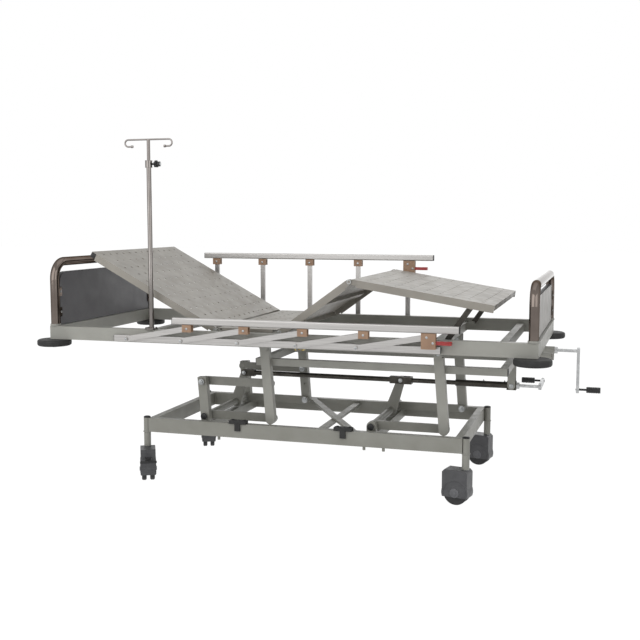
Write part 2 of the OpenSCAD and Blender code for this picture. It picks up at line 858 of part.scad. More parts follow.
module clevis(x, slot) {
    both_sides() translate([x, post_plane, tilt_z]) difference() {
        union() for (s = [-1, 1]) translate([0, s * (lift_post_t / 2 + side_gap + cheek_t / 2), 0]) {
            rod_y(lift_post_w, -cheek_t / 2, cheek_t / 2);
            block_at([lift_post_w, cheek_t, frame_bottom - tilt_z + cut],
                [0, 0, (frame_bottom - tilt_z + cut) / 2]);
        }
        if (slot > 0) slot_y(lift_pin_d + 2 * play, -slot, 0, -lift_post_t, lift_post_t);
    }
    if (slot == 0) both_sides() translate([x, post_plane, tilt_z])
        rod_y(lift_pin_d, -lift_post_t / 2 - side_gap - cheek_t, lift_post_t / 2 + side_gap + cheek_t);
}

module bearing(x, l, y, hanger_x) {
    translate([x, y, screw_z]) difference() {
        union() {
            rod_x(collar_d, -l / 2, l / 2);
            block_at([hanger_t, collar_d, frame_bottom - screw_z + cut],
                [hanger_x - x, 0, (frame_bottom - screw_z + cut) / 2]);
        }
        rod_x(screw_d + 2 * fit, -l, l);
    }
}

module bed_frame() {
    color("#98978f") at_bed() difference() {
        union() {
            difference() {
                frame_tubes(0);
                frame_tubes(tube_wall);
            }
            both_sides() {
                hinge_lug(back_beam_x, seat_head_x);
                hinge_lug(thigh_beam_x, seat_foot_x);
                stay_lug();
            }
            clevis(tilt_x, 0);
            clevis(jack_x, jack_slot);
            for (y = [back_screw_y, knee_screw_y])
                bearing(bed_l / 2 + collar_l / 2 - collar_in, collar_l, y, (bed_l - side_t) / 2);
            bearing(thigh_beam_x, hanger_t, back_screw_y, thigh_beam_x);
            bearing(jack_beam_x, hanger_t, knee_screw_y, jack_beam_x);
            for (p = socket_places) translate([p.x, p.y, frame_bottom])
                cylinder(d = iv_d + 2 * socket_wall, h = side_h);
        }
        for (sx = [-1, 1], sy = [-1, 1]) translate([sx * bow_x, sy * side_y, frame_top - spigot_l])
            cylinder(d = spigot_d + 2 * fit, h = spigot_l + cut);
        for (p = socket_places) translate([p.x, p.y, frame_bottom - cut])
            cylinder(d = iv_d + 2 * fit, h = side_h + 2 * cut);
        both_sides() for (s = [-1, 1]) translate([s * (bed_l / 2 - vent_in), side_y, frame_bottom - cut])
            cylinder(d = vent_d, h = tube_wall + 2 * cut);
    }
}

module stay_lug() {
    y0 = stay_y - stay_t / 2 - side_gap - lug_t;
    translate([0, y0 + lug_t, 0]) rotate([90, 0, 0]) linear_extrude(lug_t) {
        translate([stay_x, hinge_z - stay_drop]) circle(d = stay_w);
        polygon([
            [jack_beam_x, frame_bottom + tube_wall], [jack_beam_x + cross_t / 2, frame_bottom + tube_wall],
            [stay_x, hinge_z - stay_drop - stay_w / 2], [stay_x, hinge_z - stay_drop + stay_w / 2],
            [jack_beam_x + cross_t / 2, cross_top - rest_gap - tube_wall],
            [jack_beam_x, cross_top - rest_gap - tube_wall]]);
    }
    translate([stay_x, 0, hinge_z - stay_drop])
        rod_y(stay_pin_d, y0 + lug_t - cut, stay_y + stay_t / 2 + side_gap);
}

module bumpers() {
    color("#161616") at_bed() for (sx = [-1, 1], sy = [-1, 1])
        translate([sx * (bed_l / 2 - bumper_inset), sy * bed_w / 2, frame_bottom - bumper_h])
            rotate_extrude($fn = 96) bumper_profile();
}

module bumper_profile() {
    r = bumper_d / 2;
    round_r = bumper_h / 3;
    square([r - round_r, bumper_h]);
    translate([0, round_r]) square([r, bumper_h - 2 * round_r]);
    for (z = [round_r, bumper_h - round_r]) translate([r - round_r, z]) circle(r = round_r);
}

// Deck panels. A tray lies flat with the hinge line at the origin and runs along +X
module tray(l, near_gap, far_gap, near_in, far_in, lip) {
    top = hinge_drop;
    x0 = near_gap;
    x1 = l - far_gap;
    rows = floor((x1 - x0 - hole_pitch) / hole_pitch);
    cols = floor((panel_w - hole_pitch) / hole_pitch);
    x_in = (x1 - x0 - rows * hole_pitch) / 2;
    difference() {
        block_at([x1 - x0, panel_w, sheet_t], [(x0 + x1) / 2, 0, top - sheet_t / 2]);
        for (i = [0 : rows]) for (j = [0 : cols - i % 2])
            translate([x0 + x_in + i * hole_pitch,
                (j - (cols - i % 2) / 2) * hole_pitch, top - sheet_t - cut])
                cylinder(d = hole_d, h = sheet_t + 2 * cut, $fn = 24);
    }
    both_sides() block_at([x1 - x0 - near_in - far_in, sheet_t, lip],
        [(x0 + near_in + x1 - far_in) / 2, (panel_w - sheet_t) / 2, top - lip / 2]);
    for (x = [x0 + sheet_t / 2, x1 - sheet_t / 2])
        block_at([sheet_t, panel_w - 2 * notch, end_lip], [x, 0, top - end_lip / 2]);
}

// Folded stiffening channels across the underside of a panel
module panel_ribs(l, shares) {
    for (share = shares) difference() {
        block_at([rib_w, rib_l, rib_h], [l * share, 0, hinge_drop - (rib_h + sheet_t) / 2]);
        block_at([rib_w - 2 * sheet_t, rib_l + 2 * cut, rib_h - 2 * sheet_t],
            [l * share, 0, hinge_drop - (rib_h + sheet_t) / 2]);
    }
}

// Square tube across the head end of the back panel
module edge_bar() {
    difference() {
        block_at([edge_tube, panel_w, edge_tube],
            [back_l - (sheet_t + edge_tube) / 2, 0, hinge_drop - (sheet_t + edge_tube) / 2]);
        block_at([edge_tube - 2 * sheet_t, panel_w + 2 * cut, edge_tube - 2 * sheet_t],
            [back_l - (sheet_t + edge_tube) / 2, 0, hinge_drop - (sheet_t + edge_tube) / 2]);
    }
}

// Hinge ear on a panel's side, round the pin at the origin
module panel_ear(y1) {
    block_at([4 * ear_r, ear_t, 2 * hinge_drop - sheet_t],
        [2 * ear_r, y1 - ear_t / 2, 0]);
    rod_y(2 * ear_r, y1 - ear_t, y1);
}

module ear_bore(d) {
    rod_y(d, -panel_w, panel_w);
}

// Lever pair on a hinge line that straddles a nut, at an angle from straight down
module nut_lever(y, turn, side) {
    reach = lever_drop / cos(turn);
    half_w = side * lever_neck / 2;
    for (s = [-1, 1]) translate([0, y + s * (nut_w / 2 + lever_gap + lever_t / 2), 0])
        rotate([90, 0, 0]) linear_extrude(lever_t, center = true) difference() {
            union() {
                polygon([[side * lever_root, hinge_drop - sheet_t / 2],
                    [side * panel_gap, hinge_drop - sheet_t / 2], [side * panel_gap, -sheet_t],
                    lever_point(reach, turn, -half_w), lever_point(reach, turn, half_w)]);
                translate(lever_point(reach, turn, 0)) circle(d = lever_w);
            }
            for (r = [lever_drop - play, reach + play]) translate(lever_point(r, turn, 0))
                circle(d = nut_pin_d + 2 * slot_play + slot_relief);
            polygon([for (q = [[lever_drop - play, -1], [lever_drop - play, 1], [reach + play, 1],
                [reach + play, -1]]) lever_point(q[0], turn, q[1] * (nut_pin_d / 2 + slot_play))]);
        }
}

// A point at a reach down a lever and at a distance across it
function lever_point(r, turn, across) =
    [r * sin(turn) + across * cos(turn), across * sin(turn) - r * cos(turn)];

module back_panel() {
    color("#99948c") at_bed() translate([seat_head_x, 0, hinge_z]) rotate([0, back_angle, 0])
        difference() {
            union() {
                rotate([0, 0, 180]) {
                    tray(back_l, panel_gap, 0, 2 * ear_r, edge_tube + edge_tube_side, lip_h - rest_gap);
                    edge_bar();
                    panel_ribs(back_l, back_rib_shares);
                }
                both_sides() rotate([0, 0, 180]) panel_ear(panel_w / 2);
                nut_lever(back_screw_y, back_lever_turn, -1);
            }
            ear_bore(hinge_d + 2 * fit);
        }
}

module seat_panel() {
    color("#99948c") at_bed() translate([seat_head_x, 0, hinge_z])
        tray(seat_l, panel_gap, panel_gap, 2 * ear_r, 2 * ear_r, lip_h);
}

module thigh_panel() {
    color("#99948c") at_bed() translate([seat_foot_x, 0, hinge_z]) rotate([0, -thigh_angle, 0]) {
        difference() {
            union() {
                tray(knee_l, panel_gap, panel_gap, 2 * ear_r, 2 * ear_r, lip_h - rest_gap);
                panel_ribs(knee_l, thigh_rib_shares);
                both_sides() panel_ear(panel_w / 2);
                both_sides() translate([knee_l, 0, 0]) rotate([0, 0, 180]) panel_ear(panel_w / 2);
                nut_lever(knee_screw_y, thigh_lever_turn, 1);
            }
            ear_bore(hinge_d + 2 * fit);
        }
        both_sides() translate([knee_l, 0, 0])
            rod_y(hinge_d, panel_w / 2 - 2 * ear_t - 2 * side_gap, panel_w / 2 + head_h);
    }
}

module at_knee() {
    translate([seat_foot_x + knee_l * cos(thigh_angle), 0, hinge_z + knee_l * sin(thigh_angle)])
        rotate([0, calf_drop, 0]) children();
}

module calf_panel() {
    color("#99948c") at_bed() at_knee() difference() {
        union() {
            tray(calf_l, panel_gap, 0, 2 * ear_r, 0, lip_h - rest_gap);
            panel_ribs(calf_l, calf_rib_shares);
            both_sides() panel_ear(panel_w / 2 - ear_t - side_gap);
            both_sides() for (s = [-1, 1])
                translate([stay_at, s * (stay_t / 2 + side_gap + lug_t / 2), 0]) stay_bracket();
        }
        ear_bore(hinge_d + 2 * fit);
    }
}

module stay_bracket() {
    difference() {
        union() {
            translate([0, stay_y, -stay_below]) rod_y(stay_w, -lug_t / 2, lug_t / 2);
            block_at([stay_w, lug_t, hinge_drop + stay_below - sheet_t / 2],
                [0, stay_y, (hinge_drop - stay_below - sheet_t / 2) / 2]);
        }
        translate([0, stay_y, -stay_below]) rod_y(stay_pin_d + 2 * stay_play, -lug_t, lug_t);
    }
}

module calf_stays() {
    color("#8a8983") at_bed() both_sides() translate([stay_x, stay_y, hinge_z - stay_drop])
        rotate([0, -stay_angle, 0]) {
            difference() {
                link_plate(stay_l, stay_w, -stay_t / 2, stay_t / 2);
                rod_y(stay_pin_d + 2 * fit, -stay_w, stay_w);
            }
            translate([stay_l, 0, 0])
                rod_y(stay_pin_d, -stay_t / 2 - side_gap - lug_t, stay_t / 2 + side_gap + lug_t);
        }
}

// Nuts on the back and knee screws
module screw_nut() {
    difference() {
        union() {
            block_at([nut_l, nut_w, nut_h], [0, 0, 0]);
            rod_y(nut_pin_d, -nut_pin_reach, nut_pin_reach);
        }
        rod_x(screw_d + 2 * fit, -nut_l, nut_l);
    }
}

module back_nut() {
    color("#b9a46a") at_bed() translate([back_nut_x, back_screw_y, screw_z]) screw_nut();
}

module knee_nut() {
    color("#b9a46a") at_bed() translate([knee_nut_x, knee_screw_y, screw_z]) screw_nut();
}

// Cranks. The shaft lies on the X axis, and the arm starts at the origin and hangs down
module crank(shaft_end, thrust_at) {
    rod_x(screw_d, shaft_end, arm_bar_t / 2);
    rod_x(arm_boss_d, -arm_bar_t / 2, arm_bar_t / 2);
    block_at([arm_bar_t, arm_bar_w, crank_r - arm_boss_d / 2], [0, 0, -(crank_r - arm_boss_d / 2) / 2]);
    difference() {
        block_at([arm_bar_t, arm_bar_w, arm_boss_d], [0, 0, -crank_r]);
        block_at([2 * arm_bar_t, eye_t + 2 * side_gap, arm_boss_d],
            [0, 0, -crank_r + eye_d / 2 + side_gap - arm_boss_d / 2]);
    }
    translate([0, 0, -crank_r]) rod_y(handle_pin_d, -arm_bar_w / 2, arm_bar_w / 2);
    rod_x(arm_boss_d, thrust_at, thrust_at + arm_bar_t);
}

// Handle with its eye at the origin, along +X
module crank_handle() {
    difference() {
        union() {
            rod_y(eye_d, -eye_t / 2, eye_t / 2);
            rod_x(handle_rod_d, 0, handle_l - grip_l + cut);
            rod_x(grip_d, handle_l - grip_l, handle_l);
        }
        rod_y(handle_pin_d + 2 * fit, -eye_d, eye_d);
    }
}

module back_crank() {
    end = seat_head_x - nut_stroke - back_crank_x;
    color("#8b8a88") at_bed() translate([back_crank_x, back_screw_y, screw_z])
        crank(end, bed_l / 2 + collar_l - collar_in + side_gap - back_crank_x);
}

module back_crank_handle() {
    color("#1a1a1a") at_bed() translate([back_crank_x, back_screw_y, screw_z - crank_r]) crank_handle();
}

module knee_screw() {
    color("#8b8a88") at_bed() translate([0, knee_screw_y, screw_z]) {
        rod_x(screw_d, seat_foot_x - nut_stroke, knee_drive_x);
        rod_x(arm_boss_d, bed_l / 2 + collar_l - collar_in + side_gap, knee_drive_x);
    }
}

module at_height_crank() {
    translate([height_crank_x, tie_y, thrust_z]) rotate([90, 0, 0]) children();
}

module height_crank() {
    color("#5c5b59") at_bed() at_height_crank()
        crank(height_screw_end - height_crank_x, thrust_x + block_l / 2 + side_gap - height_crank_x);
}

module height_crank_handle() {
    color("#1a1a1a") at_bed() at_height_crank() translate([0, 0, -crank_r]) rotate([0, 180, 0])
        crank_handle();
}

// Bows and boards
module bow(h) {
    top_z = h - bow_d / 2;
    both_sides() {
        translate([0, side_y, -spigot_l + cut]) cylinder(d = spigot_d, h = spigot_l);
        translate([0, side_y, 0]) cylinder(d = bow_d, h = top_z - bow_r);
        translate([0, side_y - bow_r, top_z - bow_r]) rotate([90, 0, 90])
            rotate_extrude(angle = 90) translate([bow_r, 0]) circle(d = bow_d);
    }
    translate([0, 0, top_z]) rod_y(bow_d, bow_r - side_y, side_y - bow_r);
    both_sides() for (share = clip_share) difference() {
        block_at([board_t + 2 * clip_wall, clip_out + bow_d / 2, clip_h],
            [0, side_y - (clip_out + bow_d / 2) / 2, h * share]);
        block_at([board_t, 2 * board_edge_y(), clip_h + 2 * cut], [0, 0, h * share]);
    }
}

function board_edge_y() = side_y - bow_d / 2 - clip_out + board_bite;

module board(h) {
    top_z = h - bow_d - hand_gap;
    edge = board_edge_y();
    rotate([90, 0, 90]) linear_extrude(board_t, center = true) difference() {
        union() {
            translate([-edge, board_lift]) square([2 * edge, top_z - board_r - board_lift]);
            translate([board_r - edge, board_lift]) square([2 * edge - 2 * board_r, top_z - board_lift]);
            for (s = [-1, 1]) translate([s * (edge - board_r), top_z - board_r])
                circle(r = board_r, $fn = 96);
        }
    }
}

module head_bow() {
    color("#b9babb") at_bed() translate([-bow_x, 0, frame_top]) bow(head_bow_h);
}

module foot_bow() {
    color("#b9babb") at_bed() translate([bow_x, 0, frame_top]) bow(foot_bow_h);
}

module head_board() {
    color("#4f4e50") at_bed() translate([-bow_x, 0, frame_top]) board(head_bow_h);
}

module foot_board() {
    color("#807c76") at_bed() translate([bow_x, 0, frame_top]) board(foot_bow_h);
}

// Side rails, drawn for the far side and mirrored for the near side
function rail_x(i) = rail_first_x + (i - 1) * rail_pitch;

module on_side(side) {
    if (side > 0) children();
    else mirror([0, 1, 0]) children();
}

module rail_base(side) {
    x0 = rail_first_x - bar_over_head;
    x1 = rail_x(rail_n) + bar_over_foot;
    bar_y = bed_w / 2 + standoff + base_bar_t / 2;
    color("#b4b3ae") at_bed() on_side(side) {
        block_at([x1 - x0, base_bar_t, base_bar_h],
            [(x0 + x1) / 2, bar_y, rail_pivot_z]);
        for (i = [1 : rail_n]) {
            block_at([standoff_l, standoff + cut, base_bar_h],
                [rail_x(i), bed_w / 2 + (standoff + cut) / 2, rail_pivot_z]);
            translate([rail_x(i), 0, rail_pivot_z]) {
                rod_y(pin_d, bar_y, post_y + post_t + side_gap + cut);
                rod_y(post_w, bar_y, post_y - side_gap);
                rod_y(head_d, post_y + post_t + side_gap, post_y + post_t + side_gap + head_h);
            }
        }
    }
}

module rail_post(side, fold, i) {
    color("#aeb1b3") at_bed() on_side(side) translate([rail_x(i), 0, rail_pivot_z])
        rotate([0, fold - 90, 0]) difference() {
            link_plate(post_l, post_w, post_y, post_y + post_t);
            rod_y(pin_d + 2 * fit, 0, bed_w);
            translate([post_l, 0, 0]) rod_y(pin_d + 2 * (i == 1 ? fit : play), 0, bed_w);
        }
}

module at_rail_top(fold) {
    translate([post_l * sin(fold), 0, rail_pivot_z + post_l * cos(fold)]) children();
}

module top_rail(side, fold) {
    x0 = rail_first_x - rail_over_head;
    x1 = rail_x(rail_n) + rail_over_foot;
    color("#b6b9bb") at_bed() on_side(side) at_rail_top(fold)
        translate([0, rail_y, cap_up + rail_h / 2]) difference() {
            union() {
                block_at([x1 - x0, rail_w - rail_h / 3, rail_h], [(x0 + x1) / 2, 0, 0]);
                block_at([x1 - x0, rail_w, rail_h - rail_h / 3], [(x0 + x1) / 2, 0, 0]);
                for (sy = [-1, 1], sz = [-1, 1])
                    translate([0, sy * (rail_w / 2 - rail_h / 6), sz * (rail_h / 2 - rail_h / 6)])
                        rod_x(rail_h / 3, x0, x1);
            }
            block_at([x1 - x0 + 2 * cut, rail_w - 2 * rail_wall - rail_h / 6,
                rail_h - 2 * rail_wall - rail_h / 6], [(x0 + x1) / 2, 0, 0]);
        }
}

// Tan caps under the top rail; the last one is the latch housing
module rail_caps(side, fold) {
    color("#a87e5e") at_bed() on_side(side) at_rail_top(fold) {
        for (i = [1 : rail_n]) translate([rail_x(i), rail_y, 0]) {
            last = i == rail_n;
            down = last ? latch_down : cap_down;
            x0 = last ? -latch_head : -cap_w / 2;
            x1 = last ? latch_foot : cap_w / 2;
            difference() {
                block_at([x1 - x0, rail_w, cap_up + down], [(x0 + x1) / 2, 0, (cap_up - down) / 2]);
                block_at([x1 - x0 + 2 * cut, post_t + 2 * side_gap, cap_up + down],
                    [(x0 + x1) / 2, 0, (cap_up - down) / 2 - cap_web]);
            }
            rod_y(pin_d, -rail_w / 2, rail_w / 2);
            if (last) translate([lever_x, 0, -lever_low]) rod_y(pin_d, -rail_w / 2, rail_w / 2);
        }
    }
}

// Red release lever in the latch housing
module release(side, fold) {
    color("#b03030") at_bed() on_side(side) at_rail_top(fold)
        translate([rail_x(rail_n) + lever_x, rail_y, -lever_low]) difference() {
            union() {
                rod_y(release_h, -post_t / 2, post_t / 2);
                block_at([release_l, post_t, release_h], [release_l / 2, 0, 0]);
                block_at([release_l / 2, rail_w, release_tip],
                    [release_l * 0.75, 0, (release_tip - release_h) / 2]);
            }
            rod_y(pin_d + 2 * fit, -rail_w, rail_w);
        }
}

module near_rail_base() { rail_base(-1); }
module near_rail_post_1() { rail_post(-1, fold_angle, 1); }
module near_rail_post_2() { rail_post(-1, fold_angle, 2); }
module near_rail_post_3() { rail_post(-1, fold_angle, 3); }
module near_rail_post_4() { rail_post(-1, fold_angle, 4); }
module near_rail_post_5() { rail_post(-1, fold_angle, 5); }
module near_top_rail() { top_rail(-1, fold_angle); }
module near_rail_caps() { rail_caps(-1, fold_angle); }
module near_release() { release(-1, fold_angle); }
module far_rail_base() { rail_base(1); }
module far_rail_post_1() { rail_post(1, 0, 1); }
module far_rail_post_2() { rail_post(1, 0, 2); }
module far_rail_post_3() { rail_post(1, 0, 3); }
module far_rail_post_4() { rail_post(1, 0, 4); }
module far_rail_post_5() { rail_post(1, 0, 5); }
module far_top_rail() { top_rail(1, 0); }
module far_rail_caps() { rail_caps(1, 0); }
module far_release() { release(1, 0); }

// IV pole
module at_iv() {
    translate([iv_x, -side_y, frame_top]) children();
}

module iv_tube() {
    color("#b9babb") at_bed() at_iv() difference() {
        union() {
            translate([0, 0, -side_h]) cylinder(d = iv_d, h = side_h + iv_knob_h);
            cylinder(d = flange_d, h = flange_t);
            translate([0, 0, iv_knob_h - iv_collar_h / 2]) cylinder(d = iv_collar_d, h = iv_collar_h);
        }
        translate([0, 0, iv_knob_h - iv_rod_in - 2 * nut_stroke])
            cylinder(d = iv_d - 2 * iv_wall, h = iv_rod_in + 2 * nut_stroke - iv_collar_h / 2);
        translate([0, 0, iv_knob_h - iv_collar_h])
            cylinder(d = iv_rod_d + 2 * slide_fit, h = 2 * iv_collar_h);
        translate([0, 0, iv_knob_h]) rod_x(stem_d + 2 * fit, iv_rod_d / 2, iv_collar_d);
    }
}

module iv_rod() {
    color("#b9babb") at_bed() at_iv() translate([0, 0, iv_knob_h]) {
        translate([0, 0, -iv_rod_in]) cylinder(d = iv_rod_d, h = iv_rod_in + iv_hook_h);
        translate([0, 0, iv_hook_h]) rod_x(hook_d, -iv_bar_l / 2 + hook_r, iv_bar_l / 2 - hook_r);
        for (s = [0, 180]) rotate([0, 0, s]) translate([iv_bar_l / 2 - hook_r, 0, iv_hook_h - hook_r]) {
            rotate([90, 0, 0]) rotate([0, 0, -90]) rotate_extrude(angle = 180)
                translate([hook_r, 0]) circle(d = hook_d, $fn = 24);
            translate([0, 0, -hook_r]) rod_x(hook_d, -hook_r, 0, $fn = 24);
            translate([0, 0, -hook_r]) rod_x(bead_d, -hook_r - bead_l, -hook_r, $fn = 32);
        }
    }
}

module iv_knob() {
    color("#141414") at_bed() at_iv() translate([0, 0, iv_knob_h]) {
        rod_x(stem_d, iv_rod_d / 2 + side_gap, iv_rod_d / 2 + stem_l + iv_collar_d / 2);
        rod_x(knob_d, iv_collar_d / 2 + stem_l / 2, iv_collar_d / 2 + stem_l / 2 + knob_l);
        for (i = [1 : knob_lobes]) rotate([360 * i / knob_lobes, 0, 0]) translate([0, 0, knob_d / 2])
            rod_x(lobe_d, iv_collar_d / 2 + stem_l / 2 + lobe_in, iv_collar_d / 2 + stem_l / 2 + knob_l / 2);
    }
}

base_frame();
lift_stands();
castor_hood(1);  // castor_hood_1
castor_hood(2);  // castor_hood_2
castor_hood(3);  // castor_hood_3
castor_hood(4);  // castor_hood_4
castor_wheels(1);  // castor_wheels_1
castor_wheels(2);  // castor_wheels_2
castor_wheels(3);  // castor_wheels_3
castor_wheels(4);  // castor_wheels_4
brake_pedal(1);  // brake_pedal_1
brake_pedal(4);  // brake_pedal_4
head_rocker();
foot_rocker();
head_upper_arms();
tie_rod();
height_screw_tube();
height_nut_tube();
lift_frame();
tilt_jacks();
bed_frame();
bumpers();
back_panel();
seat_panel();
thigh_panel();
calf_panel();
back_nut();
knee_nut();
calf_stays();
head_bow();
foot_bow();
head_board();
foot_board();
near_rail_base();
near_rail_post_1();
near_rail_post_2();
near_rail_post_3();
near_rail_post_4();
near_rail_post_5();
near_top_rail();
near_rail_caps();
near_release();
far_rail_base();
far_rail_post_1();
far_rail_post_2();
far_rail_post_3();
far_rail_post_4();
far_rail_post_5();
far_top_rail();
far_rail_caps();
far_release();
iv_tube();
iv_rod();
iv_knob();
back_crank();
back_crank_handle();
knee_screw();
height_crank();
height_crank_handle();
base_stops();
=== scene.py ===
from math import cos, pi, radians, sin

import bmesh
import bpy
from mathutils import Matrix, Vector


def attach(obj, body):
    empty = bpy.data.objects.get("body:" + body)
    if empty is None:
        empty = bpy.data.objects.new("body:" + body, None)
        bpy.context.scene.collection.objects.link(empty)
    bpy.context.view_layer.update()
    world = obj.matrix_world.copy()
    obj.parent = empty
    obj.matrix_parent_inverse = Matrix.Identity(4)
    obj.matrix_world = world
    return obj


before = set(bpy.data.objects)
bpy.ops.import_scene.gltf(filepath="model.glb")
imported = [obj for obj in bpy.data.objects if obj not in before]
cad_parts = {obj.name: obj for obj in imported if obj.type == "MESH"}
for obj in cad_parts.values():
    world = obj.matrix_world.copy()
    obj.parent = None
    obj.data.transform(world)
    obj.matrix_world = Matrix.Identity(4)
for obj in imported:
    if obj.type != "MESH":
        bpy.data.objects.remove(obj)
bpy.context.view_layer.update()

# Studio: a plain white sweep under broad soft lamps, seen from the near side, a little towards the
# foot end. The floor keeps the bed's shadow, and chrome mirrors the white room.
eye = Vector((1.2078, -4.0447, 1.1232))
yaw, pitch = 0.298, 0.104
look = Vector((-sin(yaw) * cos(pitch), cos(yaw) * cos(pitch), -sin(pitch)))
lens_mm = 54.06
lamp_aim = Vector((0, 0, 0.5))
room_level, floor_half, paper_glow, paper_seen_share = 0.42, 30, 1.1, 0.9
lamp_rows = [
    ("key_lamp", (-2.2, -4.2, 2.8), 5.0, 125),
    ("fill_lamp", (3.8, -3.4, 2.4), 4.0, 62),
    ("top_lamp", (0.2, 0.6, 4.2), 3.6, 22),
    ("back_lamp", (0.5, 4.2, 2.2), 4.0, 30),
]


def linear(tone):
    """An sRGB hex tone as linear red, green, blue and a full alpha."""
    parts = [int(tone[i:i + 2], 16) / 255 for i in (1, 3, 5)]
    return [p / 12.92 if p <= 0.04045 else ((p + 0.055) / 1.055) ** 2.4 for p in parts] + [1]


def add_node(tree, kind, settings=None, links=None):
    """Adds a node, sets its properties and sockets, and brings outputs into its inputs."""
    made = tree.nodes.new(kind)
    for key, value in (settings or {}).items():
        if isinstance(key, str) and hasattr(made, key):
            setattr(made, key, value)
        else:
            made.inputs[key].default_value = value
    for key, source in (links or {}).items():
        tree.links.new(source, made.inputs[key])
    return made


camera = bpy.data.objects.new("camera", bpy.data.cameras.new("camera"))
camera.data.lens = lens_mm
camera.location = eye
camera.rotation_mode = "QUATERNION"
camera.rotation_quaternion = look.to_track_quat("-Z", "Y")
bpy.context.scene.collection.objects.link(camera)
bpy.context.scene.camera = camera
for name, place, size, watts in lamp_rows:
    lamp = bpy.data.objects.new(name, bpy.data.lights.new(name, "AREA"))
    lamp.data.size = size
    lamp.data.energy = watts
    lamp.location = place
    lamp.rotation_mode = "QUATERNION"
    lamp.rotation_quaternion = (lamp_aim - lamp.location).to_track_quat("-Z", "Y")
    bpy.context.scene.collection.objects.link(lamp)


def seen_ray(tree):
    """1 for rays from the eye, also by way of a mirror or glass, and 0 for rays that light things."""
    path = add_node(tree, "ShaderNodeLightPath")
    mirrored = add_node(tree, "ShaderNodeMath", {"operation": "ADD", "use_clamp": True},
                        {0: path.outputs["Is Camera Ray"], 1: path.outputs["Is Glossy Ray"]})
    return add_node(tree, "ShaderNodeMath", {"operation": "ADD", "use_clamp": True},
                    {0: mirrored.outputs[0], 1: path.outputs["Is Transmission Ray"]}).outputs[0]


room = bpy.context.scene.world or bpy.data.worlds.new("room")
bpy.context.scene.world = room
room.use_nodes = True
room.node_tree.nodes.clear()
room_light = add_node(room.node_tree, "ShaderNodeBackground",
                      {"Color": linear("#f4f6f8"), "Strength": room_level})
room_seen = add_node(room.node_tree, "ShaderNodeBackground", {"Color": linear("#ffffff")})
room_mix = add_node(room.node_tree, "ShaderNodeMixShader", None,
                    {0: seen_ray(room.node_tree), 1: room_light.outputs[0], 2: room_seen.outputs[0]})
add_node(room.node_tree, "ShaderNodeOutputWorld", None, {"Surface": room_mix.outputs[0]})

paper = bpy.data.materials.new("matt_paper")
paper.use_nodes = True
paper.node_tree.nodes.clear()
paper_lit = add_node(paper.node_tree, "ShaderNodeBsdfDiffuse", {"Color": linear("#f0f0ef")})
paper_seen = add_node(paper.node_tree, "ShaderNodeEmission",
                      {"Color": linear("#ffffff"), "Strength": paper_glow})
paper_share = add_node(paper.node_tree, "ShaderNodeMath", {"operation": "MULTIPLY", 1: paper_seen_share},
                       {0: seen_ray(paper.node_tree)})
paper_mix = add_node(paper.node_tree, "ShaderNodeMixShader", None,
                     {0: paper_share.outputs[0], 1: paper_lit.outputs[0], 2: paper_seen.outputs[0]})
add_node(paper.node_tree, "ShaderNodeOutputMaterial", None, {"Surface": paper_mix.outputs[0]})
sheet = bmesh.new()
bmesh.ops.create_grid(sheet, x_segments=1, y_segments=1, size=floor_half)
floor_mesh = bpy.data.meshes.new("floor")
sheet.to_mesh(floor_mesh)
sheet.free()
floor_mesh.materials.append(paper)
floor = bpy.data.objects.new("floor", floor_mesh)
bpy.context.scene.collection.objects.link(floor)

# Base frame: rectangular steel tube, welded and powder coated in a warm satin grey, on four round
# castor legs with black plastic caps. Rubber stops sit on the near side tube.
MM = 0.001
bed_mid_x = -83.5
base_y, base_top, base_bottom = 329, 268, 208
leg_xs, leg_r = (-637, 751), 15
cross_faces, stand_faces, stand_h = (-594, 708), (-413, -373, 330, 370), 38
cap_h, cap_rim, leg_boss, boss_sunk = 5, 2, (10, 2.5, 1), 1
weld_in, leg_bead, bead_drop = 3, (14, 18, 4, 1), 3.5
stop_xs, stop_h, stud_out, stop_stud = (-208, 252), 14, 26, (6, 3, 1.2)


def finish_of(name, slot, metallic, coat=0.0, anisotropic=0.0):
    """A new material with a lit surface and its output, and the record's slot that it stands for."""
    finish = bpy.data.materials.new(name)
    finish.use_nodes = True
    tree = finish.node_tree
    tree.nodes.clear()
    surface = add_node(tree, "ShaderNodeBsdfPrincipled",
                       {"Metallic": metallic, "Coat Weight": coat, "Anisotropic": anisotropic})
    add_node(tree, "ShaderNodeOutputMaterial", None, {"Surface": surface.outputs[0]})
    finish["slot"] = slot
    place = add_node(tree, "ShaderNodeTexCoord").outputs["Object"]
    return finish, tree, surface, place


def mottle(tree, place, scale, detail=3.0, rough=0.5):
    """Soft cloudy variation, whose scale is in patches per metre."""
    return add_node(tree, "ShaderNodeTexNoise",
                    {"Scale": scale, "Detail": detail, "Roughness": rough},
                    {"Vector": place}).outputs[0]


def ramp(tree, source, low, high, stops=(0.3, 0.7)):
    """Turns a 0 to 1 pattern into a run between two colours or two greys."""
    made = add_node(tree, "ShaderNodeValToRGB", None, {0: source})
    for stop, share, value in zip(made.color_ramp.elements, stops, (low, high)):
        stop.position = share
        stop.color = linear(value) if isinstance(value, str) else (value, value, value, 1)
    return made.outputs[0]


def relief(tree, surface, source, depth, strength=1.0):
    """Raises a pattern on the surface, depth in metres."""
    bump = add_node(tree, "ShaderNodeBump", {"Strength": strength, "Distance": depth},
                    {"Height": source})
    tree.links.new(bump.outputs[0], surface.inputs["Normal"])


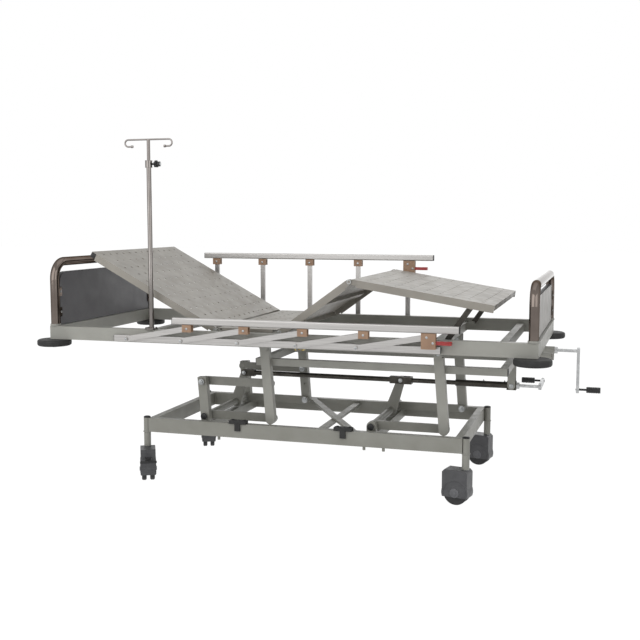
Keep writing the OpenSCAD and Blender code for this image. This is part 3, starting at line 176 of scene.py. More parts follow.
def powder_coat(name, slot, low, high):
    """Oven cured polyester powder on steel. It gives a satin grey with a fine orange peel, 3 mm from
    crest to crest, a little cloudier where hands and cloths have polished it."""
    finish, tree, surface, place = finish_of(name, slot, 0.0)
    surface.inputs["IOR"].default_value = 1.5
    tone = ramp(tree, mottle(tree, place, 9), low, high)
    tree.links.new(tone, surface.inputs["Base Color"])
    tree.links.new(ramp(tree, mottle(tree, place, 24, 4), 0.36, 0.52), surface.inputs["Roughness"])
    relief(tree, surface, mottle(tree, place, 330, 1), 0.00025, 0.35)
    return finish


def moulded(name, slot, low, high, rough=(0.42, 0.58), ior=1.46, grain=900, depth=0.0002):
    """Injection moulded plastic with a spark eroded grain about 1 mm apart, a little uneven in gloss."""
    finish, tree, surface, place = finish_of(name, slot, 0.0)
    surface.inputs["IOR"].default_value = ior
    tree.links.new(ramp(tree, mottle(tree, place, 30), low, high), surface.inputs["Base Color"])
    tree.links.new(ramp(tree, mottle(tree, place, 60), *rough), surface.inputs["Roughness"])
    relief(tree, surface, mottle(tree, place, grain, 2), depth, 0.3)
    return finish


def paint(finish, *names):
    """Gives CAD nodes their finish."""
    for name in names:
        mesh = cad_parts[name].data
        mesh.materials.clear()
        mesh.materials.append(finish)


def at(x, y, z):
    """A place in metres from millimetres along the bed frame, across it and above the floor."""
    return Vector(((x + bed_mid_x) * MM, y * MM, z * MM))


def standing(place, axis):
    """The turn and shift that stand a shape's Z axis along axis at a place."""
    return Matrix.Translation(place) @ Vector(axis).to_track_quat("Z", "Y").to_matrix().to_4x4()


def round_edges(bm, edges, size, steps=3):
    """Rounds edges by a size in millimetres."""
    bmesh.ops.bevel(bm, geom=list(edges), offset=size * MM, offset_type="OFFSET", segments=steps,
                    profile=0.5, affect="EDGES", clamp_overlap=True, material=-1)


def rim_edges(verts):
    """The edges round the flat ends of a turned shape."""
    edges = {e for v in verts for e in v.link_edges}
    return [e for e in edges if any(len(f.verts) > 4 for f in e.link_faces)]


def drum(bm, place, axis, radius, height, rim, sides=32, top=None):
    """A turned disc, pin or cap that stands on a place, with rounded rims; six sides make a hex head.
    A drum's named size, such as leg_boss, holds radius, height, rim, sides and top in this order."""
    top = radius if top is None else top
    made = bmesh.ops.create_cone(
        bm, cap_ends=True, cap_tris=False, segments=sides, radius1=radius * MM, radius2=top * MM,
        depth=height * MM, matrix=standing(place, axis) @ Matrix.Translation((0, 0, height * MM / 2)))
    round_edges(bm, rim_edges(made["verts"]), rim)


def block(bm, low, high, rim, turn=None):
    """A rounded block between two corners, in millimetres on the bed frame; turn is about its middle."""
    a, b = at(*low), at(*high)
    shape = Matrix.Translation((a + b) / 2) @ (turn or Matrix()) @ Matrix.Diagonal((*(b - a), 1))
    made = bmesh.ops.create_cube(bm, size=1, matrix=shape)
    round_edges(bm, {e for v in made["verts"] for e in v.link_edges}, rim)


def ring(bm, place, axis, inner, outer, height, rim, steps=48):
    """A turned ring round an axis: a rectangle with cut corners spun once round. A ring's named size,
    such as stem_washer, holds inner and outer radius, height, rim and steps in this order."""
    turn = standing(place, axis)
    outline = [(inner + rim, 0), (outer - rim, 0), (outer, rim), (outer, height - rim),
               (outer - rim, height), (inner + rim, height), (inner, height - rim), (inner, rim)]
    loop = [bm.verts.new(turn @ Vector((r * MM, 0, z * MM))) for r, z in outline]
    edges = [bm.edges.new(pair) for pair in zip(loop, loop[1:] + loop[:1])]
    bmesh.ops.spin(bm, geom=loop + edges, cent=place, axis=turn.to_3x3() @ Vector((0, 0, 1)),
                   angle=2 * pi, steps=steps, use_merge=True)


def weld(bm, start, end, size=3.0, ripple=4 * MM, dip=0.14):
    """A fillet weld between two places: a low bead with a ripple every 4 mm."""
    run = end - start
    way = run.normalized()
    ripples = max(4, int(run.length / ripple))
    bead = bmesh.ops.create_cone(bm, cap_ends=True, segments=8, radius1=size * MM, radius2=size * MM,
                                 depth=run.length, matrix=standing((start + end) / 2, run))
    sides = [e for e in {e for v in bead["verts"] for e in v.link_edges}
             if abs(e.calc_length() - run.length) < MM]
    cut = bmesh.ops.subdivide_edges(bm, edges=sides, cuts=2 * ripples, use_grid_fill=True)
    for v in {v for v in cut["geom_inner"] if isinstance(v, bmesh.types.BMVert)}:
        along = (v.co - start).dot(way)
        axis_point = start + way * along
        v.co = axis_point + (v.co - axis_point) * (1 - dip + dip * cos(2 * pi * along / ripple))


def piece(name, bm, body, finish, crease=32):
    """Makes the finished piece: normals outwards, smooth but for its creases, riding on a body."""
    bmesh.ops.remove_doubles(bm, verts=bm.verts, dist=1e-6)
    bmesh.ops.recalc_face_normals(bm, faces=bm.faces)
    mesh = bpy.data.meshes.new(name)
    bm.to_mesh(mesh)
    bm.free()
    mesh.shade_smooth()
    mesh.set_sharp_from_angle(angle=radians(crease))
    mesh.materials.append(finish)
    made = bpy.data.objects.new(name, mesh)
    bpy.context.scene.collection.objects.link(made)
    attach(made, body)


# Painted shade: this is the frame paint made darker than the bed frame's coat, for the shade that falls
# on the base under the bed.
base_coat_painted_shade = powder_coat("powder_coated_base_painted_shade", "frame_paint", "#84837b", "#908f88")
black_plastic = moulded("black_nylon", "black_plastic", "#141415", "#222223")
paint(base_coat_painted_shade, "base_frame", "lift_stands")

caps = bmesh.new()
for x in leg_xs:
    for y in (-base_y, base_y):
        drum(caps, at(x, y, base_top), (0, 0, 1), leg_r, cap_h, cap_rim)
        drum(caps, at(x, y, base_top + cap_h - boss_sunk), (0, 0, 1), *leg_boss)
piece("leg_caps", caps, "base", black_plastic)

seams = bmesh.new()
for side in (-1, 1):
    inner = side * (base_y - leg_r)
    for x in cross_faces:
        weld(seams, at(x, inner, base_bottom + weld_in), at(x, inner, base_top - weld_in))
    for x in stand_faces:
        weld(seams, at(x, inner, base_bottom + weld_in), at(x, inner, base_bottom + stand_h))
    for x in leg_xs:
        ring(seams, at(x, side * base_y, base_bottom - bead_drop), (0, 0, 1), *leg_bead)
piece("base_welds", seams, "base", base_coat_painted_shade)

black_rubber = moulded("black_rubber", "black_rubber", "#121212", "#1e1e1d", (0.6, 0.78), 1.52, 500)
paint(black_rubber, "base_stops", "bumpers")
studs = bmesh.new()
for x in stop_xs:
    for dx in (-stud_out, stud_out):
        drum(studs, at(x + dx, -base_y, base_top + stop_h), (0, 0, 1), *stop_stud)
piece("stop_studs", studs, "base", black_plastic)

# Castors: twin wheels with near black rubber tyres under a moulded hood, with an axle cover on both
# sides, a thrust washer on the stem, and a ribbed brake pedal on two of them.
castor_rows = ((-637, -329, -62), (751, -329, 168), (-637, 329, -66), (751, 329, 168))
trail, wheel_r, castor_w, hood_top, hood_low = 34, 50, 64, 142, 32
pedal_x, pedal_z, pedal_rib_up, pedal_rib_l = 99, 104, 3.2, 62
pedal_ribs, pedal_rib_at, pedal_rib_pitch, pedal_rib_r = 5, 40, 3, 1.1
axle_cover, axle_cap, axle_cap_out = (19, 3.5, 1.6, 48), (9, 3, 1.2), 2
hood_rim, rim_sunk, rim_above = (45, 49, 2, 0.8, 64), 0.4, 3
stem_washer, washer_gap = (9.3, 14.5, 1.6, 0.4), 0.2
hood_plastic = moulded("moulded_hood", "castor_plastic", "#454547", "#525254", (0.34, 0.5))
tyre_rubber = moulded("cast_tyre", "tyre_rubber", "#1a1a1b", "#262627", (0.55, 0.75), 1.5, 400)
cover_grey = moulded("grey_axle_cover", "castor_plastic", "#5d5d60", "#6a6a6d", (0.3, 0.45))


def zinc(name, slot, low, high, rough=(0.24, 0.42)):
    """Bright zinc on steel, as on bolts and washers: a pale blue grey metal, slightly patchy."""
    finish, tree, surface, place = finish_of(name, slot, 1.0)
    tree.links.new(ramp(tree, mottle(tree, place, 60, 4), low, high), surface.inputs["Base Color"])
    tree.links.new(ramp(tree, mottle(tree, place, 140, 3), *rough), surface.inputs["Roughness"])
    relief(tree, surface, mottle(tree, place, 700, 2), 0.0001, 0.3)
    return finish


def rib(bm, place, axis, radius, length):
    """A thin round rib with softened ends, for a grip."""
    made = bmesh.ops.create_cone(
        bm, cap_ends=True, segments=12, radius1=radius * MM, radius2=radius * MM,
        depth=length * MM, matrix=standing(place, axis))
    round_edges(bm, rim_edges(made["verts"]), 0.5, 2)


zinc_plate = zinc("zinc_plated_steel", "screw_steel", "#8d8f90", "#a9abab")
for i, (x, y, turn) in enumerate(castor_rows, 1):
    hood = "castor_%d" % i
    paint(hood_plastic, "castor_hood_%d" % i)
    paint(tyre_rubber, "castor_wheels_%d" % i)
    here = Matrix.Translation(at(x, y, 0)) @ Matrix.Rotation(radians(turn), 4, "Z")
    across = here.to_3x3() @ Vector((0, 1, 0))
    covers, brow = bmesh.new(), bmesh.new()
    for side in (-1, 1):
        hub = here @ (Vector((trail, side * castor_w / 2, wheel_r)) * MM)
        out = side * across
        drum(covers, hub - out * MM, out, *axle_cover)
        drum(covers, hub + out * axle_cap_out * MM, out, *axle_cap)
        ring(brow, hub - out * rim_sunk * MM, out, *hood_rim)
    piece("axle_covers_%d" % i, covers, hood, cover_grey)
    below = at(x, y, hood_low + rim_above)
    bmesh.ops.remove_doubles(brow, verts=brow.verts, dist=1e-6)
    cut = bmesh.ops.bisect_plane(brow, geom=brow.verts[:] + brow.edges[:] + brow.faces[:], dist=1e-6,
                                 plane_co=below, plane_no=(0, 0, -1), clear_outer=True)
    bmesh.ops.holes_fill(brow, edges=[e for e in cut["geom_cut"] if isinstance(e, bmesh.types.BMEdge)])
    piece("hood_rims_%d" % i, brow, hood, hood_plastic)
    washer = bmesh.new()
    ring(washer, at(x, y, hood_top + washer_gap), (0, 0, 1), *stem_washer)
    piece("stem_washer_%d" % i, washer, hood, zinc_plate)
    if i in (1, 4):
        paint(black_plastic, "brake_pedal_%d" % i)
        ribs = bmesh.new()
        for k in range(pedal_ribs):
            along = pedal_x + pedal_rib_at + pedal_rib_pitch * k
            spot = here @ (Vector((along, 0, pedal_z + pedal_rib_up)) * MM)
            rib(ribs, spot, across, pedal_rib_r, pedal_rib_l)
        piece("pedal_ribs_%d" % i, ribs, "brake_pedal_%d" % i, black_plastic)

# Lift: flat arms between pinned steel posts, two cross shafts with their levers, the tie rod, and the
# height screw in its tube. The pins end in zinc plated nuts, in split pins or under black caps.
arm_l, pivot_z, upper_rise, post_lean = 300, 276, 150, radians(4.7)
head_pivot_x, foot_pivot_x = -393, 350
post_plane, post_t, arm_y, arm_t = 247, 30, 220, 12
pin_gap, pin_head_h, arm_nut_r, arm_nut_h = 0.5, 9, 11.5, 7
pivot_cap, pivot_boss, pivot_boss_out = (14.5, 7, 2.6, 48), (8, 1.2, 0.6), 6.5
tie_y, lever_len, lever_lean, tie_pin_reach = 100, 146, radians(18.3), 18.5
tie_washer, tie_nut = (9.5, 2, 0.5), (6.8, 5, 1)
split_pin, split_pin_out, split_pin_zs = (1.5, 4, 0.6, 12), 4.5, (-9, 6)
thrust_x, thrust_z, trunnion_out, trunnion_nut = 881, 414.6, 25, (10, 2.5, 0.8)
nipple_xs, nipple_hex, nipple_hex_z = (-30, -120, -200), (4, 3, 0.6, 6), 13.6
nipple_tip, nipple_tip_z = (2.2, 4, 0.8, 16, 1.5), 16.4
# Painted shade: the arms' grey is made darker to stand in for the shade that falls on the lift under the
# deck.
arm_paint = powder_coat("powder_coated_arms_painted_shade", "arm_paint", "#76756e", "#85847d")


def oiled(name, low, high):
    """Blackened steel with a thin film of oil: nearly black brown, with a soft long gleam."""
    finish, tree, surface, place = finish_of(name, "arm_paint", 0.85)
    tree.links.new(ramp(tree, mottle(tree, place, 40, 4), low, high), surface.inputs["Base Color"])
    tree.links.new(ramp(tree, mottle(tree, place, 90, 3), 0.32, 0.5), surface.inputs["Roughness"])
    relief(tree, surface, mottle(tree, place, 500, 2), 0.0001, 0.3)
    return finish


oiled_steel = oiled("oiled_steel", "#383632", "#4b4843")
paint(arm_paint, "head_rocker", "foot_rocker", "head_upper_arms")
paint(oiled_steel, "tie_rod", "height_screw_tube", "height_nut_tube")


def nut_on(bm, place, axis, across=10.5, high=8, washer_h=2, bolt_end_h=3):
    """A washer and a hex nut with the bolt's end standing through it."""
    drum(bm, place, axis, across * 1.25, washer_h, 0.5)
    drum(bm, place + Vector(axis) * washer_h * MM, axis, across, high, 1.1, 6)
    drum(bm, place + Vector(axis) * (washer_h + high) * MM, axis, across * 0.5, bolt_end_h, 1, 20)


outside = post_plane + post_t / 2 + pin_gap + pin_head_h
for rocker, x in (("head_rocker", head_pivot_x), ("foot_rocker", foot_pivot_x)):
    nuts, covers = bmesh.new(), bmesh.new()
    for side in (-1, 1):
        drum(covers, at(x, side * outside, pivot_z), (0, side, 0), *pivot_cap)
        drum(covers, at(x, side * (outside + pivot_boss_out), pivot_z), (0, side, 0), *pivot_boss)
        pin_x = x + lever_len * sin(lever_lean)
        end = tie_y + side * tie_pin_reach
        drum(nuts, at(pin_x, end, thrust_z), (0, side, 0), *tie_washer)
        drum(nuts, at(pin_x, end + side * tie_washer[1], thrust_z), (0, side, 0), *tie_nut)
        for dz in split_pin_zs:
            drum(nuts, at(pin_x, end + side * split_pin_out, thrust_z + dz), (0, 0, 1), *split_pin)
    piece(rocker + "_nuts", nuts, rocker, zinc_plate)
    piece(rocker + "_pivot_caps", covers, rocker, black_plastic)
nuts = bmesh.new()
for side in (-1, 1):
    x = head_pivot_x - upper_rise * sin(post_lean)
    z = pivot_z + upper_rise * cos(post_lean)
    nut_on(nuts, at(x, side * (post_plane + post_t / 2 + pin_head_h), z), (0, side, 0))
piece("head_post_nuts", nuts, "base", zinc_plate)
nuts = bmesh.new()
inside = arm_y - arm_t / 2 - pin_gap
head_post_x, foot_post_x = head_pivot_x + arm_l, foot_pivot_x + arm_l
for side in (-1, 1):
    for x, rise in ((head_post_x, 0), (foot_post_x, 0), (head_post_x, upper_rise)):
        spot = at(x - rise * sin(post_lean), side * inside, pivot_z + rise * cos(post_lean))
        nut_on(nuts, spot, (0, -side, 0), arm_nut_r, arm_nut_h)
    drum(nuts, at(thrust_x, tie_y + side * trunnion_out, thrust_z), (0, side, 0), *trunnion_nut)
piece("lift_frame_nuts", nuts, "lift_frame", zinc_plate)
nipples = bmesh.new()
for x in nipple_xs:
    drum(nipples, at(thrust_x + x, tie_y, thrust_z + nipple_hex_z), (0, 0, 1), *nipple_hex)
    drum(nipples, at(thrust_x + x, tie_y, thrust_z + nipple_tip_z), (0, 0, 1), *nipple_tip)
piece("grease_nipples", nipples, "height_screw", zinc_plate)

# Lift frame and tilt jacks: light square tube welded to the leaning posts, with black plugs in the
# open tube ends, and wiper rings where the jack rods come out of the foot posts.
frame_coat = powder_coat("powder_coated_frame", "frame_paint", "#92918a", "#9d9c95")
lift_rail_y, lift_rail_z, lift_half, lift_ends = 218, 520, 15, (-165, 896)
plug_half, plug_out, plug_rim, plug_boss, plug_boss_out = 14.6, 3, 1.3, (9, 1.5, 0.7), 2.5
jack_post_l, wiper_sunk, jack_wiper = 300.05, 0.5, (11.3, 17, 4, 1.2)
lift_weld_half, lift_weld_in = 19, 1
paint(frame_coat, "lift_frame", "bed_frame")
paint(zinc_plate, "tilt_jacks")
plugs = bmesh.new()
for end, way in zip(lift_ends, (-1, 1)):
    for y in (-lift_rail_y, lift_rail_y):
        x0, x1 = sorted((end, end + way * plug_out))
        block(plugs, (x0, y - plug_half, lift_rail_z - plug_half),
              (x1, y + plug_half, lift_rail_z + plug_half), plug_rim)
        drum(plugs, at(end + way * plug_boss_out, y, lift_rail_z), (way, 0, 0), *plug_boss)
piece("lift_rail_plugs", plugs, "lift_frame", black_plastic)
lean = Vector((-sin(post_lean), 0, cos(post_lean)))
wipers = bmesh.new()
for side in (-1, 1):
    foot = at(foot_post_x, side * post_plane, pivot_z)
    ring(wipers, foot + lean * (jack_post_l - wiper_sunk) * MM, lean, *jack_wiper)
piece("jack_wipers", wipers, "lift_frame", black_rubber)
seams = bmesh.new()
for side in (-1, 1):
    y = side * (post_plane - post_t / 2 - lift_weld_in)
    for x in (head_post_x, foot_post_x):
        post_x = x - (lift_rail_z - lift_half - pivot_z) * sin(post_lean) / cos(post_lean)
        for z in (lift_rail_z - lift_half, lift_rail_z + lift_half):
            weld(seams, at(post_x - lift_weld_half, y, z), at(post_x + lift_weld_half, y, z))
piece("lift_welds", seams, "lift_frame", frame_coat)

# Bed frame: rectangular tube with a round rubber bumper bolted under each corner, ferrules where the
# bows stand, and a rim on each of the three sockets for the IV pole.
bed_w, side_y, frame_top, side_h = 900, 435, 668, 56
frame_bottom = frame_top - side_h
bumper_x, bumper_h, bolt_washer, bolt_head = 1010, 27, (19, 2, 0.6, 40), (9.5, 6, 1, 6)
cross_xs, cross_half, cross_top, inner_y = (-620, -195, -105, 625, 885), 15, 650, 420
bow_x, bow_ferrule = 1011, (19, 22.5, 9, 1.2)
socket_places, socket_rim = ((-553, -435), (553, -435), (-553, 435)), (10.2, 14, 1.6, 0.5)
bolts = bmesh.new()
for x in (-bumper_x, bumper_x):
    for side in (-1, 1):
        under = at(x, side * bed_w / 2, frame_bottom - bumper_h)
        drum(bolts, under, (0, 0, -1), *bolt_washer)
        drum(bolts, under - Vector((0, 0, bolt_washer[1] * MM)), (0, 0, -1), *bolt_head)
piece("bumper_bolts", bolts, "bed", zinc_plate)
ferrules = bmesh.new()
for x in (-bow_x, bow_x):
    for y in (-side_y, side_y):
        ring(ferrules, at(x, y, frame_top), (0, 0, 1), *bow_ferrule)
for x, y in socket_places:
    ring(ferrules, at(x, y, frame_top), (0, 0, 1), *socket_rim)
piece("bow_ferrules", ferrules, "bed", frame_coat)
seams = bmesh.new()
for x in cross_xs:
    for side in (-1, 1):
        for dx in (-cross_half, cross_half):
            weld(seams, at(x + dx, side * inner_y, frame_bottom + weld_in),
                 at(x + dx, side * inner_y, cross_top - weld_in))
piece("bed_welds", seams, "bed", frame_coat)

# Deck: four trays of perforated sheet steel with folded edges, powder coated, hinged on steel pins
# with clips. The head end of the back panel is stiffened by a square tube with dark plugs.
deck_coat = powder_coat("powder_coated_sheet", "deck_paint", "#87827a", "#948f86")
brass = zinc("cast_brass", "nut_brass", "#a38f58", "#bda970", (0.3, 0.45))
paint(deck_coat, "back_panel", "seat_panel", "thigh_panel", "calf_panel")
paint(oiled_steel, "calf_stays")
paint(brass, "back_nut", "knee_nut")
panel_w, back_l, back_angle, thigh_angle = 800, 650, radians(28.4), radians(36)
seat_head_x, seat_foot_x, thigh_l, hinge_z, pin_out = -280, 0, 360, 668, 4.5
pin_clip, hinge_clip_in, knee_clip_in = (6, 9, 1.2, 0.3, 24), 1.6, 2
edge_tube_in, edge_plug_half, edge_plug_in, edge_plug_out, edge_plug_rim = 12, 10.8, 1, 2.5, 1.1
edge_boss, edge_boss_out = (7, 1.2, 0.5), 2
hinge_end = panel_w / 2 + pin_out
knee = (seat_foot_x + thigh_l * cos(thigh_angle), hinge_z + thigh_l * sin(thigh_angle))
clips = bmesh.new()
for x in (seat_head_x, seat_foot_x):
    for side in (-1, 1):
        ring(clips, at(x, side * (hinge_end - hinge_clip_in), hinge_z), (0, side, 0), *pin_clip)
piece("hinge_clips", clips, "bed", zinc_plate)
clips = bmesh.new()
for side in (-1, 1):
    ring(clips, at(knee[0], side * (hinge_end - knee_clip_in), knee[1]), (0, side, 0), *pin_clip)
piece("knee_clips", clips, "thigh_panel", zinc_plate)


def hinged(bm, x, z, angle):
    """Takes what was drawn flat about the bed frame's origin to a panel's hinge, turned by its angle."""
    turn = Matrix.Translation(at(x, 0, z)) @ Matrix.Rotation(angle, 4, "Y")
    bmesh.ops.transform(bm, matrix=turn @ Matrix.Translation(-at(0, 0, 0)), verts=bm.verts)


edge_x, half_w = -(back_l - edge_tube_in), panel_w / 2
plugs = bmesh.new()
for side in (-1, 1):
    y0, y1 = sorted((side * (half_w - edge_plug_in), side * (half_w + edge_plug_out)))
    block(plugs, (edge_x - edge_plug_half, y0, -edge_plug_half),
          (edge_x + edge_plug_half, y1, edge_plug_half), edge_plug_rim)
    drum(plugs, at(edge_x, side * (half_w + edge_boss_out), 0), (0, side, 0), *edge_boss)
hinged(plugs, seat_head_x, hinge_z, back_angle)
piece("edge_tube_plugs", plugs, "back_panel", black_plastic)

# Back and knee movements: ground screws under the frame, folding cranks with ribbed black grips.
# The screws are rolled steel, drawn with a coarse thread so that it shows from across a room.
crank_r, handle_l, grip_l, grip_r = 160, 91, 56, 12
grip_ribs, grip_rib_at, grip_rib_pitch = 7, 5, 7
grip_rib, handle_pin, fork_out = (grip_r - 0.6, grip_r + 0.9, 3, 0.7, 40), (4.6, 1.6, 0.7, 24), 11
back_crank_x, height_crank_x, screw_z, screw_ys = 1158, 1000, 588, (0, -200)
collar_face, collar_sunk, collar_washer = 1062.5, 0.5, (7.6, 13.5, 1.4, 0.4)
wave_span = 0.314


def rolled_thread(name, slot, low, high, pitch_mm):
    """Rolled and oiled steel screw, its thread drawn as colour bands over a matching relief, one ring to
    each pitch along X:
    the bands paint highlight on the crests and shade in the roots. A wave texture whose scale is 1
    repeats every wave_span metres."""
    finish, tree, surface, place = finish_of(name, slot, 1.0)
    turns = add_node(tree, "ShaderNodeTexWave",
                     {"wave_type": "BANDS", "bands_direction": "X", "wave_profile": "SIN",
                      "Scale": 1 / (pitch_mm * MM) * wave_span, "Distortion": 0.0},
                     {"Vector": place}).outputs["Fac"]
    # Painted highlight and shade: the bands are lighter on the thread's crests and darker in its roots.
    tree.links.new(ramp(tree, turns, low, high, (0.25, 0.75)), surface.inputs["Base Color"])
    tree.links.new(ramp(tree, mottle(tree, place, 120), 0.28, 0.44), surface.inputs["Roughness"])
    relief(tree, surface, turns, 0.0006, 0.5)
    return finish


screw_steel = rolled_thread("rolled_screw_steel", "screw_steel", "#5e5c58", "#9b9994", 6)
# Painted highlight: the crank's zinc is made lighter than the other zinc plate, to stand in for the
# bright gleam along its curved arm.
crank_zinc_painted_highlight = zinc("zinc_plated_crank_painted_highlight", "screw_steel", "#a3a4a5", "#bcbdbd", (0.26, 0.42))
paint(screw_steel, "knee_screw")
paint(crank_zinc_painted_highlight, "back_crank", "height_crank")
grip_plastic = moulded("ribbed_grip", "black_plastic", "#151516", "#222223", (0.38, 0.52))
paint(grip_plastic, "back_crank_handle", "height_crank_handle")
for name, start, way in (("back_crank_handle", at(back_crank_x, 0, screw_z - crank_r), 1),
                         ("height_crank_handle", at(height_crank_x, tie_y + crank_r, thrust_z), -1)):
    ribs = bmesh.new()
    for k in range(grip_ribs):
        along = handle_l - grip_l + grip_rib_at + grip_rib_pitch * k
        ring(ribs, start + Vector((way * along * MM, 0, 0)), (way, 0, 0), *grip_rib)
    piece(name + "_ribs", ribs, name, grip_plastic)
    pins = bmesh.new()
    for side in (-1, 1):
        across = (0, side, 0) if way == 1 else (0, 0, side)
        drum(pins, start + Vector(across) * fork_out * MM, across, *handle_pin)
    piece(name + "_pin", pins, "back_crank" if way == 1 else "height_crank", zinc_plate)
collars = bmesh.new()
for y in screw_ys:
    ring(collars, at(collar_face - collar_sunk, y, screw_z), (1, 0, 0), *collar_washer)
piece("collar_washers", collars, "bed", brass)

# Bows: steel tube bent to an upright bow at both ends and chrome plated. Two clips on each leg hold
# the board, with a screw through each clip's wall. The chrome is darker and browner than the IV pole's,
# because the photo's bows mirror a dark room that the white studio doesn't have.
bow_d, head_bow_h, foot_bow_h = 38, 294, 231
bow_rows = (("head", -bow_x, head_bow_h), ("foot", bow_x, foot_bow_h))
board_t, clip_wall, clip_y, clip_shares = 18, 5, 411, (0.2, 0.5)
clip_screw, screw_hex, screw_hex_out = (5.2, 2.2, 1.1, 24), (2.4, 0.9, 0.3, 6), 2


def chrome_plate(name, slot, low, high):
    """Bright chrome on bent tube: a clear mirror, a little wavy where the tube was bent and polished."""
    finish, tree, surface, place = finish_of(name, slot, 1.0)
    tree.links.new(ramp(tree, mottle(tree, place, 7), low, high), surface.inputs["Base Color"])
    tree.links.new(ramp(tree, mottle(tree, place, 45, 5), 0.05, 0.13), surface.inputs["Roughness"])
    relief(tree, surface, mottle(tree, place, 16, 2), 0.0002, 0.2)
    return finish


chrome = chrome_plate("chrome_plated_tube", "chrome", "#6c6764", "#8b8784")
# Painted reflection: this chrome's base colour is darkened and browned, and its grazing reflection
# tinted down, to paint the dark room that the bows mirror.
dark_chrome = chrome_plate("chrome_painted_dark_reflection", "chrome", "#5b534e", "#746b65")
dark_surface = next(n for n in dark_chrome.node_tree.nodes if n.type == "BSDF_PRINCIPLED")
dark_surface.inputs["Specular Tint"].default_value = linear("#9f9c99")
paint(chrome, "iv_tube", "iv_rod")
paint(dark_chrome, "head_bow", "foot_bow")
for name, x, rise in bow_rows:
    screws = bmesh.new()
    for side in (-1, 1):
        for share in clip_shares:
            for face in (-1, 1):
                spot = at(x + face * (board_t / 2 + clip_wall), side * clip_y, frame_top + rise * share)
                drum(screws, spot, (face, 0, 0), *clip_screw)
                drum(screws, spot + Vector((face * screw_hex_out * MM, 0, 0)), (face, 0, 0), *screw_hex)
    piece(name + "_clip_screws", screws, "bed", zinc_plate)

# Boards: high pressure laminate on both faces of a core, dark grey at the head and warm grey at the
# foot, with a dark PVC moulding round the edge that follows the rounded upper corners.
board_half, board_low, board_r, corner_steps, hand_gap = 410, 672, 50, 14, 26
band_over, band_t, side_facing = 1.6, 1.2, 0.9


def laminate(name, slot, low, high):
    """High pressure laminate: an even matt sheet with a fine speckle, 2 mm across, under a hard skin."""
    finish, tree, surface, place = finish_of(name, slot, 0.0)
    surface.inputs["IOR"].default_value = 1.5
    tree.links.new(ramp(tree, mottle(tree, place, 500, 2), low, high), surface.inputs["Base Color"])
    tree.links.new(ramp(tree, mottle(tree, place, 18), 0.36, 0.5), surface.inputs["Roughness"])
    relief(tree, surface, mottle(tree, place, 420, 2), 0.0001, 0.25)
    return finish


paint(laminate("dark_grey_laminate", "head_laminate", "#48474a", "#545356"), "head_board")
paint(laminate("warm_grey_laminate", "foot_laminate", "#79756f", "#85817b"), "foot_board")
edge_band = moulded("edge_moulding", "black_plastic", "#222223", "#2e2e2f", (0.36, 0.5))
for name, x, rise in bow_rows:
    high = frame_top + rise - bow_d - hand_gap
    middle = at(x, 0, (board_low + high) / 2)
    size = Vector((board_t + band_over, 2 * board_half, high - board_low)) * MM
    band = bmesh.new()
    bmesh.ops.create_cube(band, size=1, matrix=Matrix.Translation(middle) @ Matrix.Diagonal((*size, 1)))
    corners = [e for e in band.edges if all(v.co.z > middle.z for v in e.verts)
               and abs(e.verts[0].co.y - e.verts[1].co.y) < MM]
    bmesh.ops.bevel(band, geom=corners, offset=board_r * MM, offset_type="OFFSET", segments=corner_steps,
                    profile=0.5, affect="EDGES", clamp_overlap=True, material=-1)
    bmesh.ops.recalc_face_normals(band, faces=band.faces)
    sides = [f for f in band.faces if abs(f.normal.x) > side_facing]
    bmesh.ops.delete(band, geom=sides, context="FACES_ONLY")
    bmesh.ops.solidify(band, geom=list(band.faces), thickness=-band_t * MM)
    piece(name + "_board_edge", band, "bed", edge_band)

# Side rails: extruded aluminium, brushed and anodised, on five swinging posts. Tan nylon caps hold
# the posts' upper pins, and a red lever in the last one lets the rail fold.
rail_first_x, rail_pitch, rail_n, rail_pivot_z = -645, 247, 5, 630
post_l, rail_y, rail_w, rail_h, cap_up = 282, 482, 24, 28, 16
post_face, base_bar_y, fold = 492.5, 462, radians(79.5)
rail_last_x = rail_first_x + (rail_n - 1) * rail_pitch
top_ends, top_cap_out, top_cap_in, top_cap_rim = (rail_first_x - 64, rail_last_x + 121), 3, 0.6, 1.4
bar_ends, bar_cap_out, bar_cap_rim = (rail_first_x - 67, rail_last_x + 325), 2.5, 1.2
bar_half_w, bar_half_h = 5.7, 12.7
post_head, cap_pin = (5, 1.2, 0.5, 24), (5, 1.5, 0.7, 24)
lever_x, lever_low, release_l = 24, 21, 70
lever_ribs, lever_rib_at, lever_rib_pitch, lever_rib_up = 5, 5, 6, 2
lever_rib_r, lever_rib_l = 1.2, 21


def brushed(name, slot, low, high):
    """Extruded aluminium, brushed along its length and clear anodised: a silver satin with long fine
    streaks across which the light spreads. The streaks are drawn 3 mm wide, so that they show."""
    finish, tree, surface, place = finish_of(name, slot, 1.0, anisotropic=0.4)
    along = add_node(tree, "ShaderNodeMapping", {"Scale": (3, 330, 330)}, {"Vector": place}).outputs[0]
    streaks = mottle(tree, along, 1.0, 3)
    tree.links.new(ramp(tree, streaks, low, high), surface.inputs["Base Color"])
    tree.links.new(ramp(tree, streaks, 0.3, 0.44), surface.inputs["Roughness"])
    relief(tree, surface, streaks, 0.0001, 0.25)
    return finish


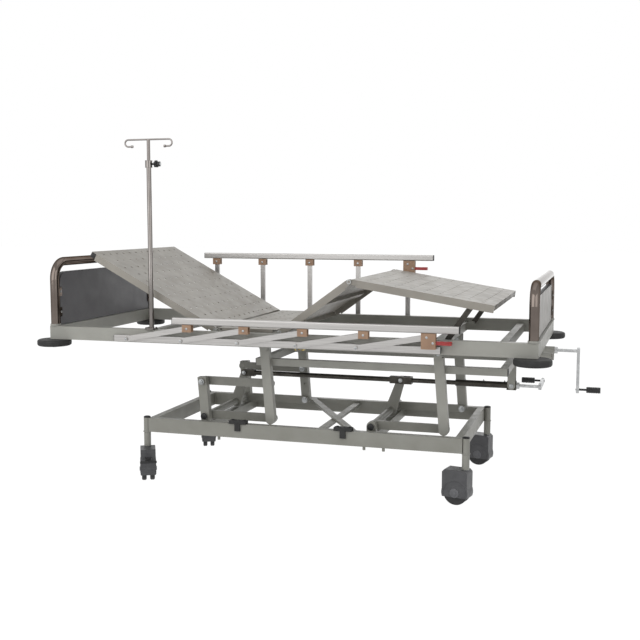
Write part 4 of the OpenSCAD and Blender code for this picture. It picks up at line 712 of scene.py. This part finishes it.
rail_silver = brushed("anodised_aluminium", "rail_silver", "#9f9d9b", "#b2b0ae")
tan_nylon = moulded("tan_nylon", "cap_tan", "#8e7059", "#9c7d64", (0.4, 0.55), 1.53)
red_abs = moulded("red_abs", "release_red", "#952323", "#a53030", (0.28, 0.42), 1.53, 700, 0.0001)
for name, side, lean_x, lean_z in (("near", -1, post_l * sin(fold), post_l * cos(fold)),
                                   ("far", 1, 0, post_l)):
    paint(rail_silver, name + "_rail_base", name + "_top_rail",
          *[name + "_rail_post_%d" % i for i in range(1, rail_n + 1)])
    paint(tan_nylon, name + "_rail_caps")
    paint(red_abs, name + "_release")
    top_z = rail_pivot_z + lean_z
    ends = bmesh.new()
    for x, way in zip(top_ends, (-1, 1)):
        x0, x1 = sorted((x + lean_x - way, x + lean_x + way * top_cap_out))
        mid = top_z + cap_up + rail_h / 2
        y = side * rail_y
        block(ends, (x0, y - rail_w / 2 + top_cap_in, mid - rail_h / 2 + top_cap_in),
              (x1, y + rail_w / 2 - top_cap_in, mid + rail_h / 2 - top_cap_in), top_cap_rim)
    piece(name + "_rail_ends", ends, name + "_top_rail", black_plastic)
    ends = bmesh.new()
    for x, way in zip(bar_ends, (-1, 1)):
        x0, x1 = sorted((x - way, x + way * bar_cap_out))
        y = side * base_bar_y
        block(ends, (x0, y - bar_half_w, rail_pivot_z - bar_half_h),
              (x1, y + bar_half_w, rail_pivot_z + bar_half_h), bar_cap_rim)
    piece(name + "_bar_ends", ends, "bed", black_plastic)
    heads, pins = bmesh.new(), bmesh.new()
    for i in range(rail_n):
        x = rail_first_x + i * rail_pitch
        drum(heads, at(x, side * post_face, rail_pivot_z), (0, side, 0), *post_head)
        for face in (-1, 1):
            spot = at(x + lean_x, side * rail_y + face * rail_w / 2, top_z)
            drum(pins, spot, (0, face, 0), *cap_pin)
    for face in (-1, 1):
        spot = at(rail_last_x + lever_x + lean_x, side * rail_y + face * rail_w / 2, top_z - lever_low)
        drum(pins, spot, (0, face, 0), *cap_pin)
    piece(name + "_post_heads", heads, "bed", zinc_plate)
    piece(name + "_cap_pins", pins, name + "_top_rail", zinc_plate)
    ribs = bmesh.new()
    for k in range(lever_ribs):
        along = rail_last_x + lever_x + lean_x + release_l / 2 + lever_rib_at + lever_rib_pitch * k
        spot = at(along, side * rail_y, top_z - lever_low + lever_rib_up)
        rib(ribs, spot, (0, 1, 0), lever_rib_r, lever_rib_l)
    piece(name + "_release_ribs", ribs, name + "_release", red_abs)

# IV pole: a chromed tube in a flange with three screws, an inner rod with two hooks, and a clamp knob
# of black plastic with a pressed steel cap.
iv_x, iv_knob_h, knob_face = -553, 682, 51
flange_turns, flange_r, flange_h, flange_screw = (30, 150, 270), 19, 7, (4, 2, 1, 24)
collar_band_zs, collar_band, knob_disc = (-15, 13.5), (14.6, 15.6, 1.5, 0.4), (7, 1.4, 0.6)
paint(black_plastic, "iv_knob")
screws = bmesh.new()
for turn in flange_turns:
    spot = at(iv_x + flange_r * cos(radians(turn)), -side_y + flange_r * sin(radians(turn)),
              frame_top + flange_h)
    drum(screws, spot, (0, 0, 1), *flange_screw)
for dz in collar_band_zs:
    ring(screws, at(iv_x, -side_y, frame_top + iv_knob_h + dz), (0, 0, 1), *collar_band)
piece("pole_screws", screws, "bed", chrome)
cap = bmesh.new()
drum(cap, at(iv_x + knob_face, -side_y, frame_top + iv_knob_h), (1, 0, 0), *knob_disc)
piece("knob_cap", cap, "iv_knob", zinc_plate)

bpy.context.scene.view_settings.view_transform = "Standard"
